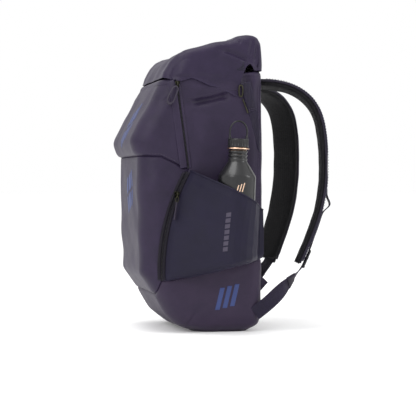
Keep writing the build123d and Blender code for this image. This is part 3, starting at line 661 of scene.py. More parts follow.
@dataclass
class Outline:
    """The bag's outer shape: rounded plan sections at heights, as in the part's own drawing."""

    half_width: float = 125.0
    heights: tuple[float, ...] = (0, 12, 30, 58, 104, 300, 312, 328, 336, 438, 470, 487, 508, 512)
    fronts: tuple[float, ...] = (30, 60, 80, 97, 125, 131, 139, 143, 141, 89, 74, 51, -33, -37)
    backs: tuple[float, ...] = (64, 80, 84, 84, 84, 84, 84, 84, 84, 84, 84, 84, 82, 77)
    insets: tuple[float, ...] = (29, 13, 8, 5, 2, 0, 0, 0, 0, 4, 5, 6, 9, 12)
    front_corner: float = 34.0
    rear_corner: float = 22.0
    blur: float = 3.5

    def sizes(self, z: Grid) -> tuple[Grid, Grid, Grid]:
        """Half width, front reach and back reach at heights, with bends softened as in cloth.

        Args:
            z: heights.

        Returns:
            The three sizes.
        """
        steps = np.linspace(-1, 1, 5) * self.blur
        mean = [np.mean([np.interp(z + d, self.heights, row) for d in steps], axis=0)
                for row in (self.insets, self.fronts, self.backs)]
        return self.half_width - mean[0], mean[1], mean[2]

    def half_ring(self, z: Grid) -> Grid:
        """Length round one half of the plan section, from the middle of the front to that of the back."""
        side, front, back = self.sizes(z)
        flats = 2 * side + front + back - 2 * (self.front_corner + self.rear_corner)
        return flats + (self.front_corner + self.rear_corner) * np.pi / 2

    def ring(self, z: Grid, run: Grid) -> tuple[Grid, Grid]:
        """Place on the plan section.

        Args:
            z: heights.
            run: distance from the middle of the front towards the wearer's right; past the
                middle of the back it goes on up the left, and a negative one starts on the left.

        Returns:
            X and Y.
        """
        side, front, back = self.sizes(z)
        whole = self.half_ring(z)
        left = run < 0
        run = np.abs(run)
        left = left ^ (run > whole)
        s = np.where(run > whole, 2 * whole - run, run)
        rf, rr = self.front_corner, self.rear_corner
        a = side - rf
        b = a + rf * np.pi / 2
        c = b + front + back - rf - rr
        d = c + rr * np.pi / 2
        ahead = np.clip((s - a) / rf, 0, np.pi / 2)
        behind = np.clip((s - c) / rr, 0, np.pi / 2)
        x = np.where(s < a, s, np.where(s < b, a + rf * np.sin(ahead), np.where(
            s < c, side, np.where(s < d, side - rr + rr * np.cos(behind), side - rr - (s - d)))))
        y = np.where(s < a, -front, np.where(s < b, -front + rf - rf * np.cos(ahead), np.where(
            s < c, -front + rf + s - b, np.where(s < d, back - rr + rr * np.sin(behind), back))))
        return np.where(left, -x, x), y

    def run_of(self, z: Grid, y: Grid) -> Grid:
        """Distance round the right half at which the section reaches a Y.

        Args:
            z: heights.
            y: places along Y on the side.

        Returns:
            Distances from the middle of the front.
        """
        side, front, back = self.sizes(z)
        rf, rr = self.front_corner, self.rear_corner
        a = side - rf
        b = a + rf * np.pi / 2
        c = b + front + back - rf - rr
        ahead = a + rf * np.arccos(np.clip((rf - (y + front)) / rf, 0, 1))
        behind = c + rr * np.arcsin(np.clip((y - back + rr) / rr, 0, 1))
        return np.where(y < -front + rf, ahead, np.where(y > back - rr, behind, b + y + front - rf))

    def side_x(self, y: Grid, z: Grid) -> Grid:
        """X of the right side's surface at places in side view."""
        return self.ring(z, self.run_of(z, y))[0]


@dataclass
class Seams:
    """Seam lines that part the panels, in side view."""

    mouth: float = 438.0
    mouth_rise: float = 13.0
    zip_top: float = 69.0
    knuckle: tuple[float, float] = (-48.0, 281.0)
    foot: tuple[float, float] = (-94.0, 90.0)
    sagitta: float = 14.0
    lip_break: tuple[float, float] = (-95.0, 303.0)
    base_rear: float = 128.0
    base_front: float = 65.6
    base_front_y: float = -101.6
    back: float = 84.0
    pocket_rear: float = 210.0

    def zip_arc(self) -> tuple[float, float, float]:
        """Centre Y, centre Z and radius of the lower side zip's arc.

        Returns:
            The three numbers.
        """
        run = np.subtract(self.foot, self.knuckle)
        chord = float(np.hypot(*run))
        radius = chord ** 2 / (8 * self.sagitta) + self.sagitta / 2
        middle = (np.array(self.foot) + np.array(self.knuckle)) / 2
        back = radius - self.sagitta
        return middle[0] - run[1] / chord * back, middle[1] + run[0] / chord * back, radius

    def side(self, z: Grid) -> Grid:
        """Y of the seam between the main shell and the front pockets."""
        cy, cz, radius = self.zip_arc()
        level = np.clip(z, self.foot[1], self.knuckle[1])
        bow = cy - np.sqrt(radius ** 2 - (level - cz) ** 2)
        share = (z - self.knuckle[1]) / (self.mouth - self.knuckle[1])
        return np.where(z > self.knuckle[1], self.knuckle[0] + share * (-self.zip_top - self.knuckle[0]), bow)

    def base(self, y: Grid) -> Grid:
        """Height of the base seam."""
        return np.interp(y, (self.base_front_y, self.foot[0], self.back),
                         (self.base_front, self.foot[1], self.base_rear))

    def lip(self, y: Grid) -> Grid:
        """Height of the seam under the upper pocket."""
        return np.interp(y, (self.lip_break[0], self.knuckle[0]), (self.lip_break[1], self.knuckle[1]))

    def rim(self, y: Grid) -> Grid:
        """Height of the mouth's rim."""
        return self.mouth + np.clip(y + self.zip_top, 0, None) * self.mouth_rise / (self.back + self.zip_top)

    def pocket_top(self, y: Grid) -> Grid:
        """Height of the side pocket's top edge."""
        share = (y - self.knuckle[0]) / (self.back - self.knuckle[0])
        return self.knuckle[1] + share * (self.pocket_rear - self.knuckle[1])


SHAPE = Outline()
SEAMS = Seams()


# ---------------------------------------------------------------- panels of the bag


@dataclass
class Panel:
    """One cut piece of cloth on the bag's outline, sewn in along its edges."""

    name: str
    replaces: tuple[str, ...]
    finish: str
    rows: int
    cols: int
    low: Field
    high: Field
    wraps_back: bool = False
    closed: bool = False
    puff: float = 3.0
    tuck: float = 2.4
    thick: float = 2.2
    seed: int = 1
    waves: float = 0.8
    slot: str = "body_fabric"
    folds: tuple[Fold, ...] = ()

    def surface(self) -> Grid:
        """Points of the flat-cut panel on the outline.

        Returns:
            Rows of points round the bag, each from the lower to the upper edge.
        """
        a = np.linspace(0, 1, self.rows, endpoint=not self.closed)[:, None]
        b = self.spread(self.cols)[None, :]
        y = np.zeros((self.rows, self.cols))
        z = np.full((self.rows, self.cols), 200.0)
        for _ in range(60):
            z += 0.3 * (self.low(y) + b * (self.high(y) - self.low(y)) - z)
            whole = SHAPE.half_ring(z)
            seam = SHAPE.run_of(z, SEAMS.side(z))
            if self.closed:
                run = a * 2 * whole
            elif self.wraps_back:
                run = seam + a * (2 * whole - 2 * seam)
            else:
                run = (1 - 2 * a) * -seam
            x, y = SHAPE.ring(z, run)
        return np.stack([x, y, z], axis=2)

    @staticmethod
    def spread(count: int) -> Grid:
        """Shares from 0 to 1 that crowd a little towards both ends."""
        share = np.linspace(0, 1, count)
        return 0.75 * share + 0.25 * (0.5 - 0.5 * np.cos(np.pi * share))

    def offset(self, grid: Grid) -> Grid:
        """How far the cloth stands off the outline.

        Args:
            grid: points of the panel.

        Returns:
            Offsets outward.
        """
        span = np.linalg.norm(np.diff(grid, axis=1), axis=2)
        up = np.concatenate([np.zeros((len(grid), 1)), np.cumsum(span, axis=1)], axis=1)
        edge = np.minimum(up, up[:, -1:] - up)
        if not self.closed:
            side = np.linalg.norm(np.diff(grid, axis=0), axis=2)
            over = np.concatenate([np.zeros((1, grid.shape[1])), np.cumsum(side, axis=0)])
            edge = np.minimum(edge, np.minimum(over, over[-1:] - over))
        off = self.puff * (1 - np.exp(-edge / 26.0)) - self.tuck * np.exp(-(edge / 2.6) ** 2)
        calm = 1 - np.exp(-edge / 18.0)
        off += self.waves * calm * ripple(grid, self.seed, 130.0, 34.0)
        flank = smooth_step((np.abs(grid[..., 0]) - 60) / 40)
        for fold in self.folds:
            off += fold.relief(grid[..., 1], grid[..., 2]) * flank
        return off

    def build(self) -> bpy.types.Object:
        """Make the panel.

        Returns:
            The panel, which rides on the bag.
        """
        grid = self.surface()
        normals = grid_normals(grid)
        if self.closed:
            normals = grid_normals(np.concatenate([grid[-2:], grid, grid[:2]]))[2:-2]
        grid = grid + normals * self.offset(grid)[..., None]
        obj = sheet_object(self.name, grid, self.thick, self.closed)
        finish_piece(obj, self.finish, "bag", self.replaces)
        return obj


def finish_piece(obj: bpy.types.Object, finish: str, body: str,
                 replaces: tuple[str, ...] = ()) -> None:
    """Dress a piece, tie it to its body and say what it stands for.

    Args:
        obj: the piece.
        finish: a field name of Finishes.
        body: the CAD body it rides on.
        replaces: CAD nodes that it stands for.
    """
    FINISH.dress(obj, finish)
    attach(obj, body)
    if replaces:
        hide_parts(*replaces)
    LOG.info("made %s", obj.name)


@dataclass
class Body:
    """The sewn body: main shell, base bowl and the two front pockets."""

    def build(self) -> dict[str, bpy.types.Object]:
        """Make the body's panels.

        Returns:
            The panels by name.
        """
        big_fold = (Fold((27, 412), (-44, 396), 9.0, -9.5, 2.0, 0.45), Fold((20, 404), (-44, 384), 9.0, 2.6),
                    Fold((-60, 424), (24, 417), 4.5, 1.8), Fold((-46, 380), (-30, 330), 12, -1.3),
                    Fold((-8, 398), (-30, 300), 16, 1.4, 4), Fold((55, 446), (58, 424), 8, -7.0),
                    Fold((48, 392), (30, 330), 12, -1.6), Fold((74, 440), (72, 150), 5, -1.2))
        lips = (Fold((-128, 306), (-70, 286), 4.0, -1.5), Fold((-96, 410), (-112, 348), 16, -1.6, -4),
                Fold((-88, 404), (-80, 392), 10, -1.5), Fold((-76, 400), (-66, 330), 10, 1.3))
        lows = (Fold((-116, 262), (-78, 240), 18, 1.4), Fold((-112, 100), (-98, 180), 14, -1.3, 5),
                Fold((-60, 268), (-96, 292), 7, 1.0))
        bowl = (Fold((-30, 42), (-52, 8), 2.0, -1.9), Fold((-26, 44), (20, 12), 26, 1.5),
                Fold((46, 110), (70, 60), 14, -1.4), Fold((-84, 78), (-58, 30), 15, 1.2))
        panels = (
            Panel("main_panel", ("main_shell",), "body", 260, 110, SEAMS.base, SEAMS.rim, wraps_back=True,
                  puff=1.6, seed=3, waves=0.7, folds=big_fold),
            Panel("upper_pocket_panel", ("upper_front_pocket",), "body", 220, 56, SEAMS.lip,
                  lambda y: np.full_like(y, SEAMS.mouth - 1.0), puff=3.4, seed=5, waves=0.8, folds=lips),
            Panel("lower_pocket_panel", ("lower_front_pocket",), "body", 220, 84, SEAMS.base, SEAMS.lip,
                  puff=3.2, seed=8, waves=0.9, folds=lows),
            Panel("base_bowl", ("base_panel",), "base", 300, 60, lambda y: np.zeros_like(y), SEAMS.base,
                  closed=True, puff=2.0, tuck=1.6, seed=11, waves=0.9, slot="base_fabric", folds=bowl),
        )
        made = {panel.name: panel.build() for panel in panels}
        self.sole(panels[-1])
        return made

    def sole(self, bowl: Panel) -> None:
        """Close the bowl underneath with a flat sole.

        Args:
            bowl: the panel whose lower edge it fits.
        """
        ring = bowl.surface()[:, 0]
        shares = np.linspace(0.04, 0.995, 12)[None, :, None]
        middle = np.array([0.0, ring[:, 1].mean(), 0.0])
        grid = middle + (ring[:, None] - middle) * shares
        grid[..., 2] = 0.6 + 1.0 * (1 - shares[..., 0]) + 0.3 * ripple(grid, 17, 60, 20)
        obj = sheet_object("sole", grid, -1.6, True)
        finish_piece(obj, "base", "bag")


@dataclass
class Hood:
    """The front panel that comes over the mouth, with hanging side flaps and a pointed tip."""

    half: float = 120.5
    corner: float = 15.0
    profile: tuple[tuple[float, float], ...] = (
        (-90, 438.5), (-86.5, 449), (-76, 468), (-66, 478.5), (-52, 486.5), (-22,
                                                                             494.5), (6, 500.5), (26, 504.5),
        (34, 509), (42, 511.5), (56, 512.5), (68, 512), (76, 509), (82, 501), (84, 488), (84.5, 470), (84.5,
                                                                                                       452))
    hem: tuple[tuple[float, float], ...] = (
        (-70, 433), (-66, 431.5), (-60, 431.5), (-52, 434.5), (-42, 437.5), (-28, 433), (-13,
                                                                                         425.5), (8, 421.5),
        (33, 408), (38.5, 405.5), (42, 424), (47, 441), (54, 458), (61, 464), (66, 458), (69, 452.2), (74,
                                                                                                       452))

    def build(self) -> None:
        """Make the cover and the rolled mouth inside it."""
        count = 170
        top = spline(self.profile, count)
        top_mark = np.linspace(0, 1, len(self.profile))
        hem = np.array(self.hem, float)
        run = np.linspace(0, 1, count)
        top = np.stack([np.interp(run, top_mark, [p[k] for p in self.profile]) for k in (0, 1)], axis=1)
        low = np.stack([np.interp(run, top_mark, hem[:, k]) for k in (0, 1)], axis=1)
        for line in (top, low):
            for _ in range(3):
                line[1:-1] = 0.25 * line[:-2] + 0.5 * line[1:-1] + 0.25 * line[2:]
        half = self.section(top, low)
        mirror = half[:, ::-1] * np.array([-1.0, 1.0, 1.0])
        grid = np.concatenate([half, mirror[:, 1:]], axis=1)
        grid = self.settle(grid)
        obj = sheet_object("hood_cover", grid, 2.0)
        finish_piece(obj, "hood", "roll_top", ("roll_top_hood",))
        self.roll()

    def section(self, top: Grid, low: Grid) -> Grid:
        """Half sections from the right hem over the corner to the middle.

        Args:
            top: Y and Z along the ridge line.
            low: Y and Z along the hem.

        Returns:
            Rows of points, one row for each place along the ridge line.
        """
        drop = np.linalg.norm(low - top, axis=1)
        way = (low - top) / np.maximum(drop, 1e-6)[:, None]
        bend = np.minimum(self.corner, drop * 0.92)
        down, turn, flat = 44, 14, 30
        rows = []
        for share in np.linspace(1, 0, down):
            side = top + way * (bend + share * (drop - bend))[:, None]
            width = np.minimum(SHAPE.side_x(side[:, 0], np.clip(side[:, 1], 0, 470)), self.half + 3.0) + 1.6
            rows.append(np.column_stack([width, side]))
        for angle in np.linspace(0, np.pi / 2, turn + 1)[1:]:
            side = top + way * (bend * (1 - np.sin(angle)))[:, None]
            width = rows[down - 1][:, 0] - self.corner * (1 - np.cos(angle))
            rows.append(np.column_stack([width, side]))
        edge = rows[-1][:, 0]
        for share in np.linspace(1, 0, flat + 1)[1:]:
            rows.append(np.column_stack([edge * share, top]))
        return np.stack(rows, axis=1)

    def settle(self, grid: Grid) -> Grid:
        """Let the cover sag and crease.

        Args:
            grid: points of the cover.

        Returns:
            The moved points.
        """
        folds = (Fold((-42, 436), (30, 411), 5.5, 2.6, -1.0), Fold((-34, 444), (36, 418), 6.0, -2.2, -2.0),
                 Fold((-70, 452), (-8, 446), 16, 1.8), Fold((10, 486), (60, 467), 5.5, -4.2, 1.5, 0.5),
                 Fold((6, 478), (50, 462), 9, 2.6), Fold((66, 506), (60, 474), 4.0, -2.2),
                 Fold((74, 500), (70, 466), 3.5, -2.4, 1.0), Fold((30, 508), (46, 498), 5, -2.2),
                 Fold((-8, 470), (26, 430), 14, 1.5), Fold((78, 504), (77, 456), 4, 1.2))
        normals = grid_normals(grid)
        if normals[40, 0, 0] < 0:
            normals = -normals
        x, y, z = grid[..., 0], grid[..., 1], grid[..., 2]
        flank = smooth_step((np.abs(x) - 70) / 40)
        off = 0.9 * ripple(grid, 23, 90.0, 26.0)
        for fold in folds:
            off += fold.relief(y, z) * flank
        off += -3.4 * (1 - flank) * np.exp(-((z - 487) / 14) ** 2) * (y < 20)
        rim = np.minimum(np.abs(z - 438.5), 8) / 8
        return grid + normals * (off * np.clip(rim + 0.3, 0, 1))[..., None]

    def roll(self) -> None:
        """The rolled hem of the mouth: three turns of cloth round two stiffener strips."""
        turn = np.linspace(0, 3.05 * 2 * np.pi, 150)
        radius = 7.0 + (16.0 - 7.0) * turn / turn[-1]
        y = 58.0 + radius * np.cos(turn + 2.6)
        z = 488.0 + radius * np.sin(turn + 2.6)
        x = np.linspace(-107.5, 107.5, 60)
        grid = np.empty((len(turn), len(x), 3))
        grid[..., 0], grid[..., 1], grid[..., 2] = x[None], y[:, None], z[:, None]
        grid[..., 1] += 0.4 * np.sin(grid[..., 0] / 17.0)
        obj = sheet_object("mouth_roll", grid, 1.6)
        finish_piece(obj, "lining", "roll_top", ("rolled_mouth",))


@dataclass
class SidePocket:
    """A stretch pocket: tight round what it holds, straight to both seams."""

    side: int
    radius: float
    centre: float
    centre_y: float = 23.0

    def hull(self, z: float, ys: Grid) -> Grid:
        """X of the stretched cloth at one height.

        Args:
            z: the height.
            ys: places along Y.

        Returns:
            X on the right side.
        """
        lean = math.tan(math.radians(2.0)) * (z - 125.3) if self.radius > 20 else 0.0
        turn = np.linspace(0.05, math.pi - 0.05, 48)
        disc = [(self.centre_y + lean - self.radius * math.cos(t), self.centre + self.radius * math.sin(t))
                for t in turn]
        ends = [(float(ys[0]), float(SHAPE.side_x(ys[0], z))),
                (float(ys[-1]), float(SHAPE.side_x(ys[-1], z)))]
        points = sorted(disc + ends)
        chain: list[tuple[float, float]] = []
        for point in points:
            while len(chain) > 1:
                (ay, ax), (by, bx) = chain[-2:]
                if (by - ay) * (point[1] - ax) - (bx - ax) * (point[0] - ay) < 0:
                    break
                chain.pop()
            chain.append(point)
        line = np.array(chain)
        return np.interp(ys, line[:, 0], line[:, 1])

    def grid(self, rows: int = 150, cols: int = 100, lift: float = 0.0) -> Grid:
        """Points of the pocket's outer face.

        Args:
            rows: points from front to back.
            cols: points from the base seam to the top edge.
            lift: extra offset outward.

        Returns:
            Points, mirrored for the left side.
        """
        share = np.linspace(0, 1, cols)
        out = np.empty((rows, cols, 3))
        for j, b in enumerate(share):
            ys = np.linspace(-44.0, 79.0, rows)
            for _ in range(8):
                z = SEAMS.base(ys) + b * (SEAMS.pocket_top(ys) - SEAMS.base(ys))
                front = SEAMS.side(z[0]) + 4.5
                ys = np.linspace(float(front), 80.0, rows)
            body = SHAPE.side_x(ys, z)
            x = self.hull(float(z.mean()), ys)
            x = np.array([np.interp(y, ys, self.hull(float(h), ys)) for y, h in zip(ys[::10], z[::10])])
            x = np.interp(ys, ys[::10], x)
            up = (z - SEAMS.base(ys)) / 13.0
            curl = np.sqrt(np.clip(1 - (1 - np.clip(up, 0, 1)) ** 2, 0, 1))
            out[:, j] = np.column_stack([body + np.maximum(x - body, 0.0) * curl, ys, z])
        normals = -grid_normals(out)
        if normals[rows // 2, cols // 2, 0] < 0:
            normals = -normals
        y, z = out[..., 1], out[..., 2]
        off = 0.35 * ripple(out, 31 + self.side, 70.0, 18.0) + lift
        for fold in (Fold((-66, 96), (10, 112), 4.5, 2.6, 2.0), Fold((-60, 104), (-2, 118), 3.5, -1.8),
                     Fold((-40, 262), (22, 226), 5.0, 0.8), Fold((40, 150), (76, 132), 6, -1.2),
                     Fold((-52, 200), (0, 190), 9, -0.9), Fold((-70, 130), (-20, 150), 8, 0.9)):
            off = off + fold.relief(y, z)
        fade = smooth_step(np.minimum(np.linspace(0, 1, rows), np.linspace(1, 0, rows)) * 14)[:, None]
        out = out + normals * ((off + 1.2) * fade + 0.2)[..., None]
        out[..., 0] *= self.side
        return out

    def build(self, node: str) -> None:
        """Make the pocket, its folded top edge and its binding.

        Args:
            node: the CAD node that it stands for.
        """
        grid = self.grid()
        if self.side > 0:
            grid = grid[::-1]
        hand = "right" if self.side > 0 else "left"
        obj = sheet_object("stretch_pocket_" + hand, grid[::-1] if self.normal_in(grid) else grid, 1.6)
        finish_piece(obj, "stretch", "bag", (node,))
        edge = grid[:, -1] * 1.0
        edge[:, 2] -= 0.4
        hem = tube_object("pocket_hem_" + hand, edge, 1.5, 8)
        finish_piece(hem, "stretch", "bag")

    @staticmethod
    def normal_in(grid: Grid) -> bool:
        """Whether the grid's normals point to the middle of the bag."""
        middle = grid_normals(grid)[grid.shape[0] // 2, grid.shape[1] // 2]
        return bool(middle[0] * grid[grid.shape[0] // 2, grid.shape[1] // 2, 0] < 0)


# ---------------------------------------------------------------- zips, closure and prints


def side_strip(line: Grid, width: float, lift: float, crown: float, side: int, columns: int = 7) -> Grid:
    """A narrow strip that lies on the side of the bag along a line.

    Args:
        line: Y and Z of the strip's middle.
        width: its width.
        lift: how far its edges stand off the outline.
        crown: how much higher its middle is.
        side: 1 for the wearer's right and -1 for the left.
        columns: points across.

    Returns:
        Points with outward normals.
    """
    ahead = np.gradient(line, axis=0)
    ahead /= np.linalg.norm(ahead, axis=1, keepdims=True)
    across = np.stack([-ahead[:, 1], ahead[:, 0]], axis=1)
    share = np.linspace(-0.5, 0.5, columns)
    flat = line[:, None] + across[:, None] * (share * width)[None, :, None]
    x = SHAPE.side_x(flat[..., 0], flat[..., 1]) + lift + crown * (1 - (2 * share) ** 2)[None]
    grid = np.stack([x, flat[..., 0], flat[..., 1]], axis=2)
    if grid_normals(grid)[len(line) // 2, columns // 2, 0] < 0:
        grid = grid[:, ::-1]
    if side < 0:
        grid = grid[:, ::-1] * np.array([-1.0, 1.0, 1.0])
    return grid


def teeth(line: Grid, side_lift: float, pitch: float = 2.2) -> list[tuple[Grid, list[tuple[int, ...]]]]:
    """Coil turns of a zip along a line in side view.

    Args:
        line: Y and Z of the zip's middle.
        side_lift: how far the coil stands off the outline.
        pitch: distance from turn to turn.

    Returns:
        Meshes of the turns.
    """
    length = float(np.linalg.norm(np.diff(line, axis=0), axis=1).sum())
    points = even(line, max(int(length / pitch), 4))
    ahead = np.gradient(points, axis=0)
    ahead /= np.linalg.norm(ahead, axis=1, keepdims=True)
    parts = []
    for (y, z), (ay, az) in zip(points, ahead):
        reach = np.linspace(-1, 1, 7)
        ys, zs = y - az * reach * 1.7, z + ay * reach * 1.7
        xs = SHAPE.side_x(ys, zs) + side_lift + 0.9 * np.sqrt(np.clip(1 - reach ** 2, 0, 1))
        parts.append(tube_mesh(np.column_stack([xs, ys, zs]), 0.62, 6))
    return parts


@dataclass
class Zips:
    """Upper and lower side zips: tapes, coils, storm flaps, sliders and pulls."""

    def upper_line(self, ahead: float, count: int = 90) -> Grid:
        """The upper zip's line, moved ahead of its seam.

        Args:
            ahead: how far.
            count: points along it.

        Returns:
            Y and Z, from the top down.
        """
        z = np.linspace(SEAMS.mouth - 6, SEAMS.knuckle[1] + 3, count)
        hook = -7.0 * np.exp(-((z - 438) / 9.0) ** 2)
        return np.column_stack([SEAMS.side(z) - ahead + hook * 0.5, z])

    def lower_line(self, ahead: float, count: int = 90) -> Grid:
        """The lower zip's line, moved ahead of its seam.

        Args:
            ahead: how far.
            count: points along it.

        Returns:
            Y and Z, from the top down.
        """
        z = np.linspace(SEAMS.knuckle[1] - 5, SEAMS.foot[1] + 2, count)
        return np.column_stack([SEAMS.side(z) - ahead, z])

    def build(self) -> None:
        """Make both zips."""
        for side, hand in ((1, "right"), (-1, "left")):
            flap = side_strip(self.upper_line(8.4), 12.5, 2.4, 1.1, side, 11)
            obj = sheet_object("storm_flap_" + hand, flap, 1.6)
            finish_piece(obj, "body", "bag", ("zip_flap_" + hand,))
            lip = side_strip(self.upper_line(-3.6), 4.6, 1.3, 1.0, side, 7)
            finish_piece(sheet_object("zip_lip_" + hand, lip, 1.2), "body", "bag")
            tape = side_strip(self.upper_line(0.4), 8.0, -0.4, 0.0, side, 5)
            finish_piece(sheet_object("upper_tape_" + hand, tape, 1.0), "zip_tape", "bag")
        self.cross_tape()
        coils = teeth(self.upper_line(-0.6), 0.7) + teeth(self.lower_line(-0.2), 0.5)
        finish_piece(merged("zip_coils_right", coils), "acetal", "bag")
        tape = side_strip(self.lower_line(0.0), 8.6, 0.1, 0.0, 1, 5)
        finish_piece(sheet_object("lower_tape", tape, 1.0), "zip_tape", "bag",
                     ("lower_zip_track",))
        # the lips beside the lower coil also take the nearly black tape finish, as painted shadow along the
        # zip
        for name, ahead in (("lower_zip_lip_front", 4.6), ("lower_zip_lip_rear", -3.9)):
            width = 4.8 + 1.6 * np.sin(np.linspace(0, np.pi, 90))
            strip = side_strip(self.lower_line(ahead), float(width.mean()), 1.2, 1.7, 1, 9)
            finish_piece(sheet_object(name, strip, 1.4), "zip_tape", "bag")
        self.sliders()

    def cross_tape(self) -> None:
        """Zip tape over the top of the upper pocket, from one side to the other."""
        z = np.linspace(425.5, 434.0, 7)
        rows = []
        for share in np.linspace(0.0, 1.0, 180):
            seam = SHAPE.run_of(z, SEAMS.side(z) - 4.0)
            x, y = SHAPE.ring(z, (1 - 2 * share) * -seam)
            rows.append(np.column_stack([x, y, z]))
        grid = np.array(rows)
        normals = grid_normals(grid)
        lift = 1.2 + 0.9 * np.sin(np.linspace(0, np.pi, 7))
        obj = sheet_object("cross_tape", grid + normals * lift[None, :, None], 1.2)
        finish_piece(obj, "body", "bag", ("upper_zip_track",))

    def sliders(self) -> None:
        """Both sliders with their bridges, and the two pulls."""
        for body, node, pull in (("upper_slider", "upper_zip_slider", "upper_zip_pull"),
                                 ("lower_slider", "lower_zip_slider", "lower_zip_pull")):
            low, high = (np.array(p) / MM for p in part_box(node))
            middle, size = (low + high) / 2, high - low
            self.slider(body, node, middle, size)
            if pull == "upper_zip_pull":
                self.loop_pull(pull)
            else:
                self.bar_pull(pull)

    @staticmethod
    def slider(body: str, node: str, middle: Grid, size: Grid) -> None:
        """One die-cast slider: a waisted body with a raised bridge.

        Args:
            body: the CAD body.
            node: the CAD node that it stands for.
            middle: middle of the CAD node's box.
            size: that box's size.
        """
        parts = []
        for z_shift, wide, tall in ((0.22, 0.46, 0.26), (-0.22, 0.34, 0.24)):
            ring = np.linspace(0, 2 * np.pi, 20, endpoint=False)
            y = np.sign(np.cos(ring)) * np.abs(np.cos(ring)) ** 0.6 * size[1] * wide
            z = np.sign(np.sin(ring)) * np.abs(np.sin(ring)) ** 0.6 * size[2] * tall + z_shift * size[2]
            levels = []
            for share, grow in ((-0.5, 0.86), (-0.42, 1.0), (0.02, 1.0), (0.12, 0.84)):
                levels.append(np.column_stack([np.full(20, middle[0] + share * size[0]),
                                               middle[1] + y * grow, middle[2] + z * grow]))
            points = np.concatenate(levels)
            faces = grid_faces(4, 20, False, True) + [tuple(range(20))[::-1], tuple(range(60, 80))]
            parts.append((points, faces))
        turn = np.linspace(0, np.pi, 12)
        arch = np.column_stack([middle[0] + size[0] * (0.05 + 0.42 * np.sin(turn)), np.full(12, middle[1]),
                                middle[2] + size[2] * 0.3 * np.cos(turn)])
        parts.append(tube_mesh(arch, 1.0, 8))
        finish_piece(merged(node + "_cast", parts), "gunmetal", body, (node,))

    @staticmethod
    def loop_pull(node: str) -> None:
        """The upper pull: two cord strands that join in a moulded grip.

        Args:
            node: the CAD node that it stands for.
        """
        low, high = (np.array(p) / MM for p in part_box(node))
        x = (low[0] + high[0]) / 2
        top = np.array([high[1] - 5.5, high[2] - 3.0])
        foot = np.array([low[1] + 6.0, low[2] + 6.0])
        run = foot - top
        length = np.hypot(*run)
        way, across = run / length, np.array([-run[1], run[0]]) / length
        path = []
        for along, aside in ((0.02, 0.0), (0.10, 3.2), (0.35, 5.0), (0.75, 5.6), (0.97, 4.0), (1.06, 0.0),
                             (0.97, -4.0), (0.75, -5.6), (0.35, -5.0), (0.10, -3.2)):
            path.append(top + way * length * along + across * aside)
        path = np.array(path + [path[0]])
        curve = spline(path, 80)[:-1]
        line = np.column_stack([np.full(len(curve), x), curve])
        ring, faces = tube_mesh(line, 1.35, 10, True)
        grip = line[34:46]
        thick = 1.9 + 0.5 * np.sin(np.linspace(0, np.pi, len(grip)))
        parts = [(ring, faces), tube_mesh(grip, thick, 12)]
        finish_piece(merged("upper_pull_cord", parts), "rubber", "upper_pull", (node,))

    @staticmethod
    def bar_pull(node: str) -> None:
        """The lower pull: a wire link and a narrow moulded bar with grip grooves.

        Args:
            node: the CAD node that it stands for.
        """
        low, high = (np.array(p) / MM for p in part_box(node))
        x = (low[0] + high[0]) / 2
        top = np.array([x, high[1] - 3.2, high[2] - 2.0])
        foot = np.array([x + 0.5, low[1] + 3.2, low[2] + 2.0])
        link = [top + (foot - top) * s + np.array([0, d, 0]) for s, d in
                ((0.0, 0.0), (0.06, 1.9), (0.20, 1.9), (0.27, 0.0), (0.20, -1.9), (0.06, -1.9))]
        wire = tube_mesh(spline(np.array(link + [link[0]]), 40)[:-1], 0.7, 8, True)
        finish_piece(merged("lower_pull_link", [wire]), "gunmetal", "lower_pull")
        share = np.linspace(0.24, 1.0, 46)
        bar = top + (foot - top) * share[:, None]
        width = 2.6 + 0.5 * smooth_step((share - 0.4) / 0.5) - 0.25 * (np.sin(share * 90) > 0.6)
        width[:3] *= (0.55, 0.85, 0.95)
        width[-3:] *= (0.97, 0.85, 0.5)
        obj = tube_object("lower_pull_grip", bar, width, 14, flat=0.55)
        finish_piece(obj, "rubber", "lower_pull", (node,))


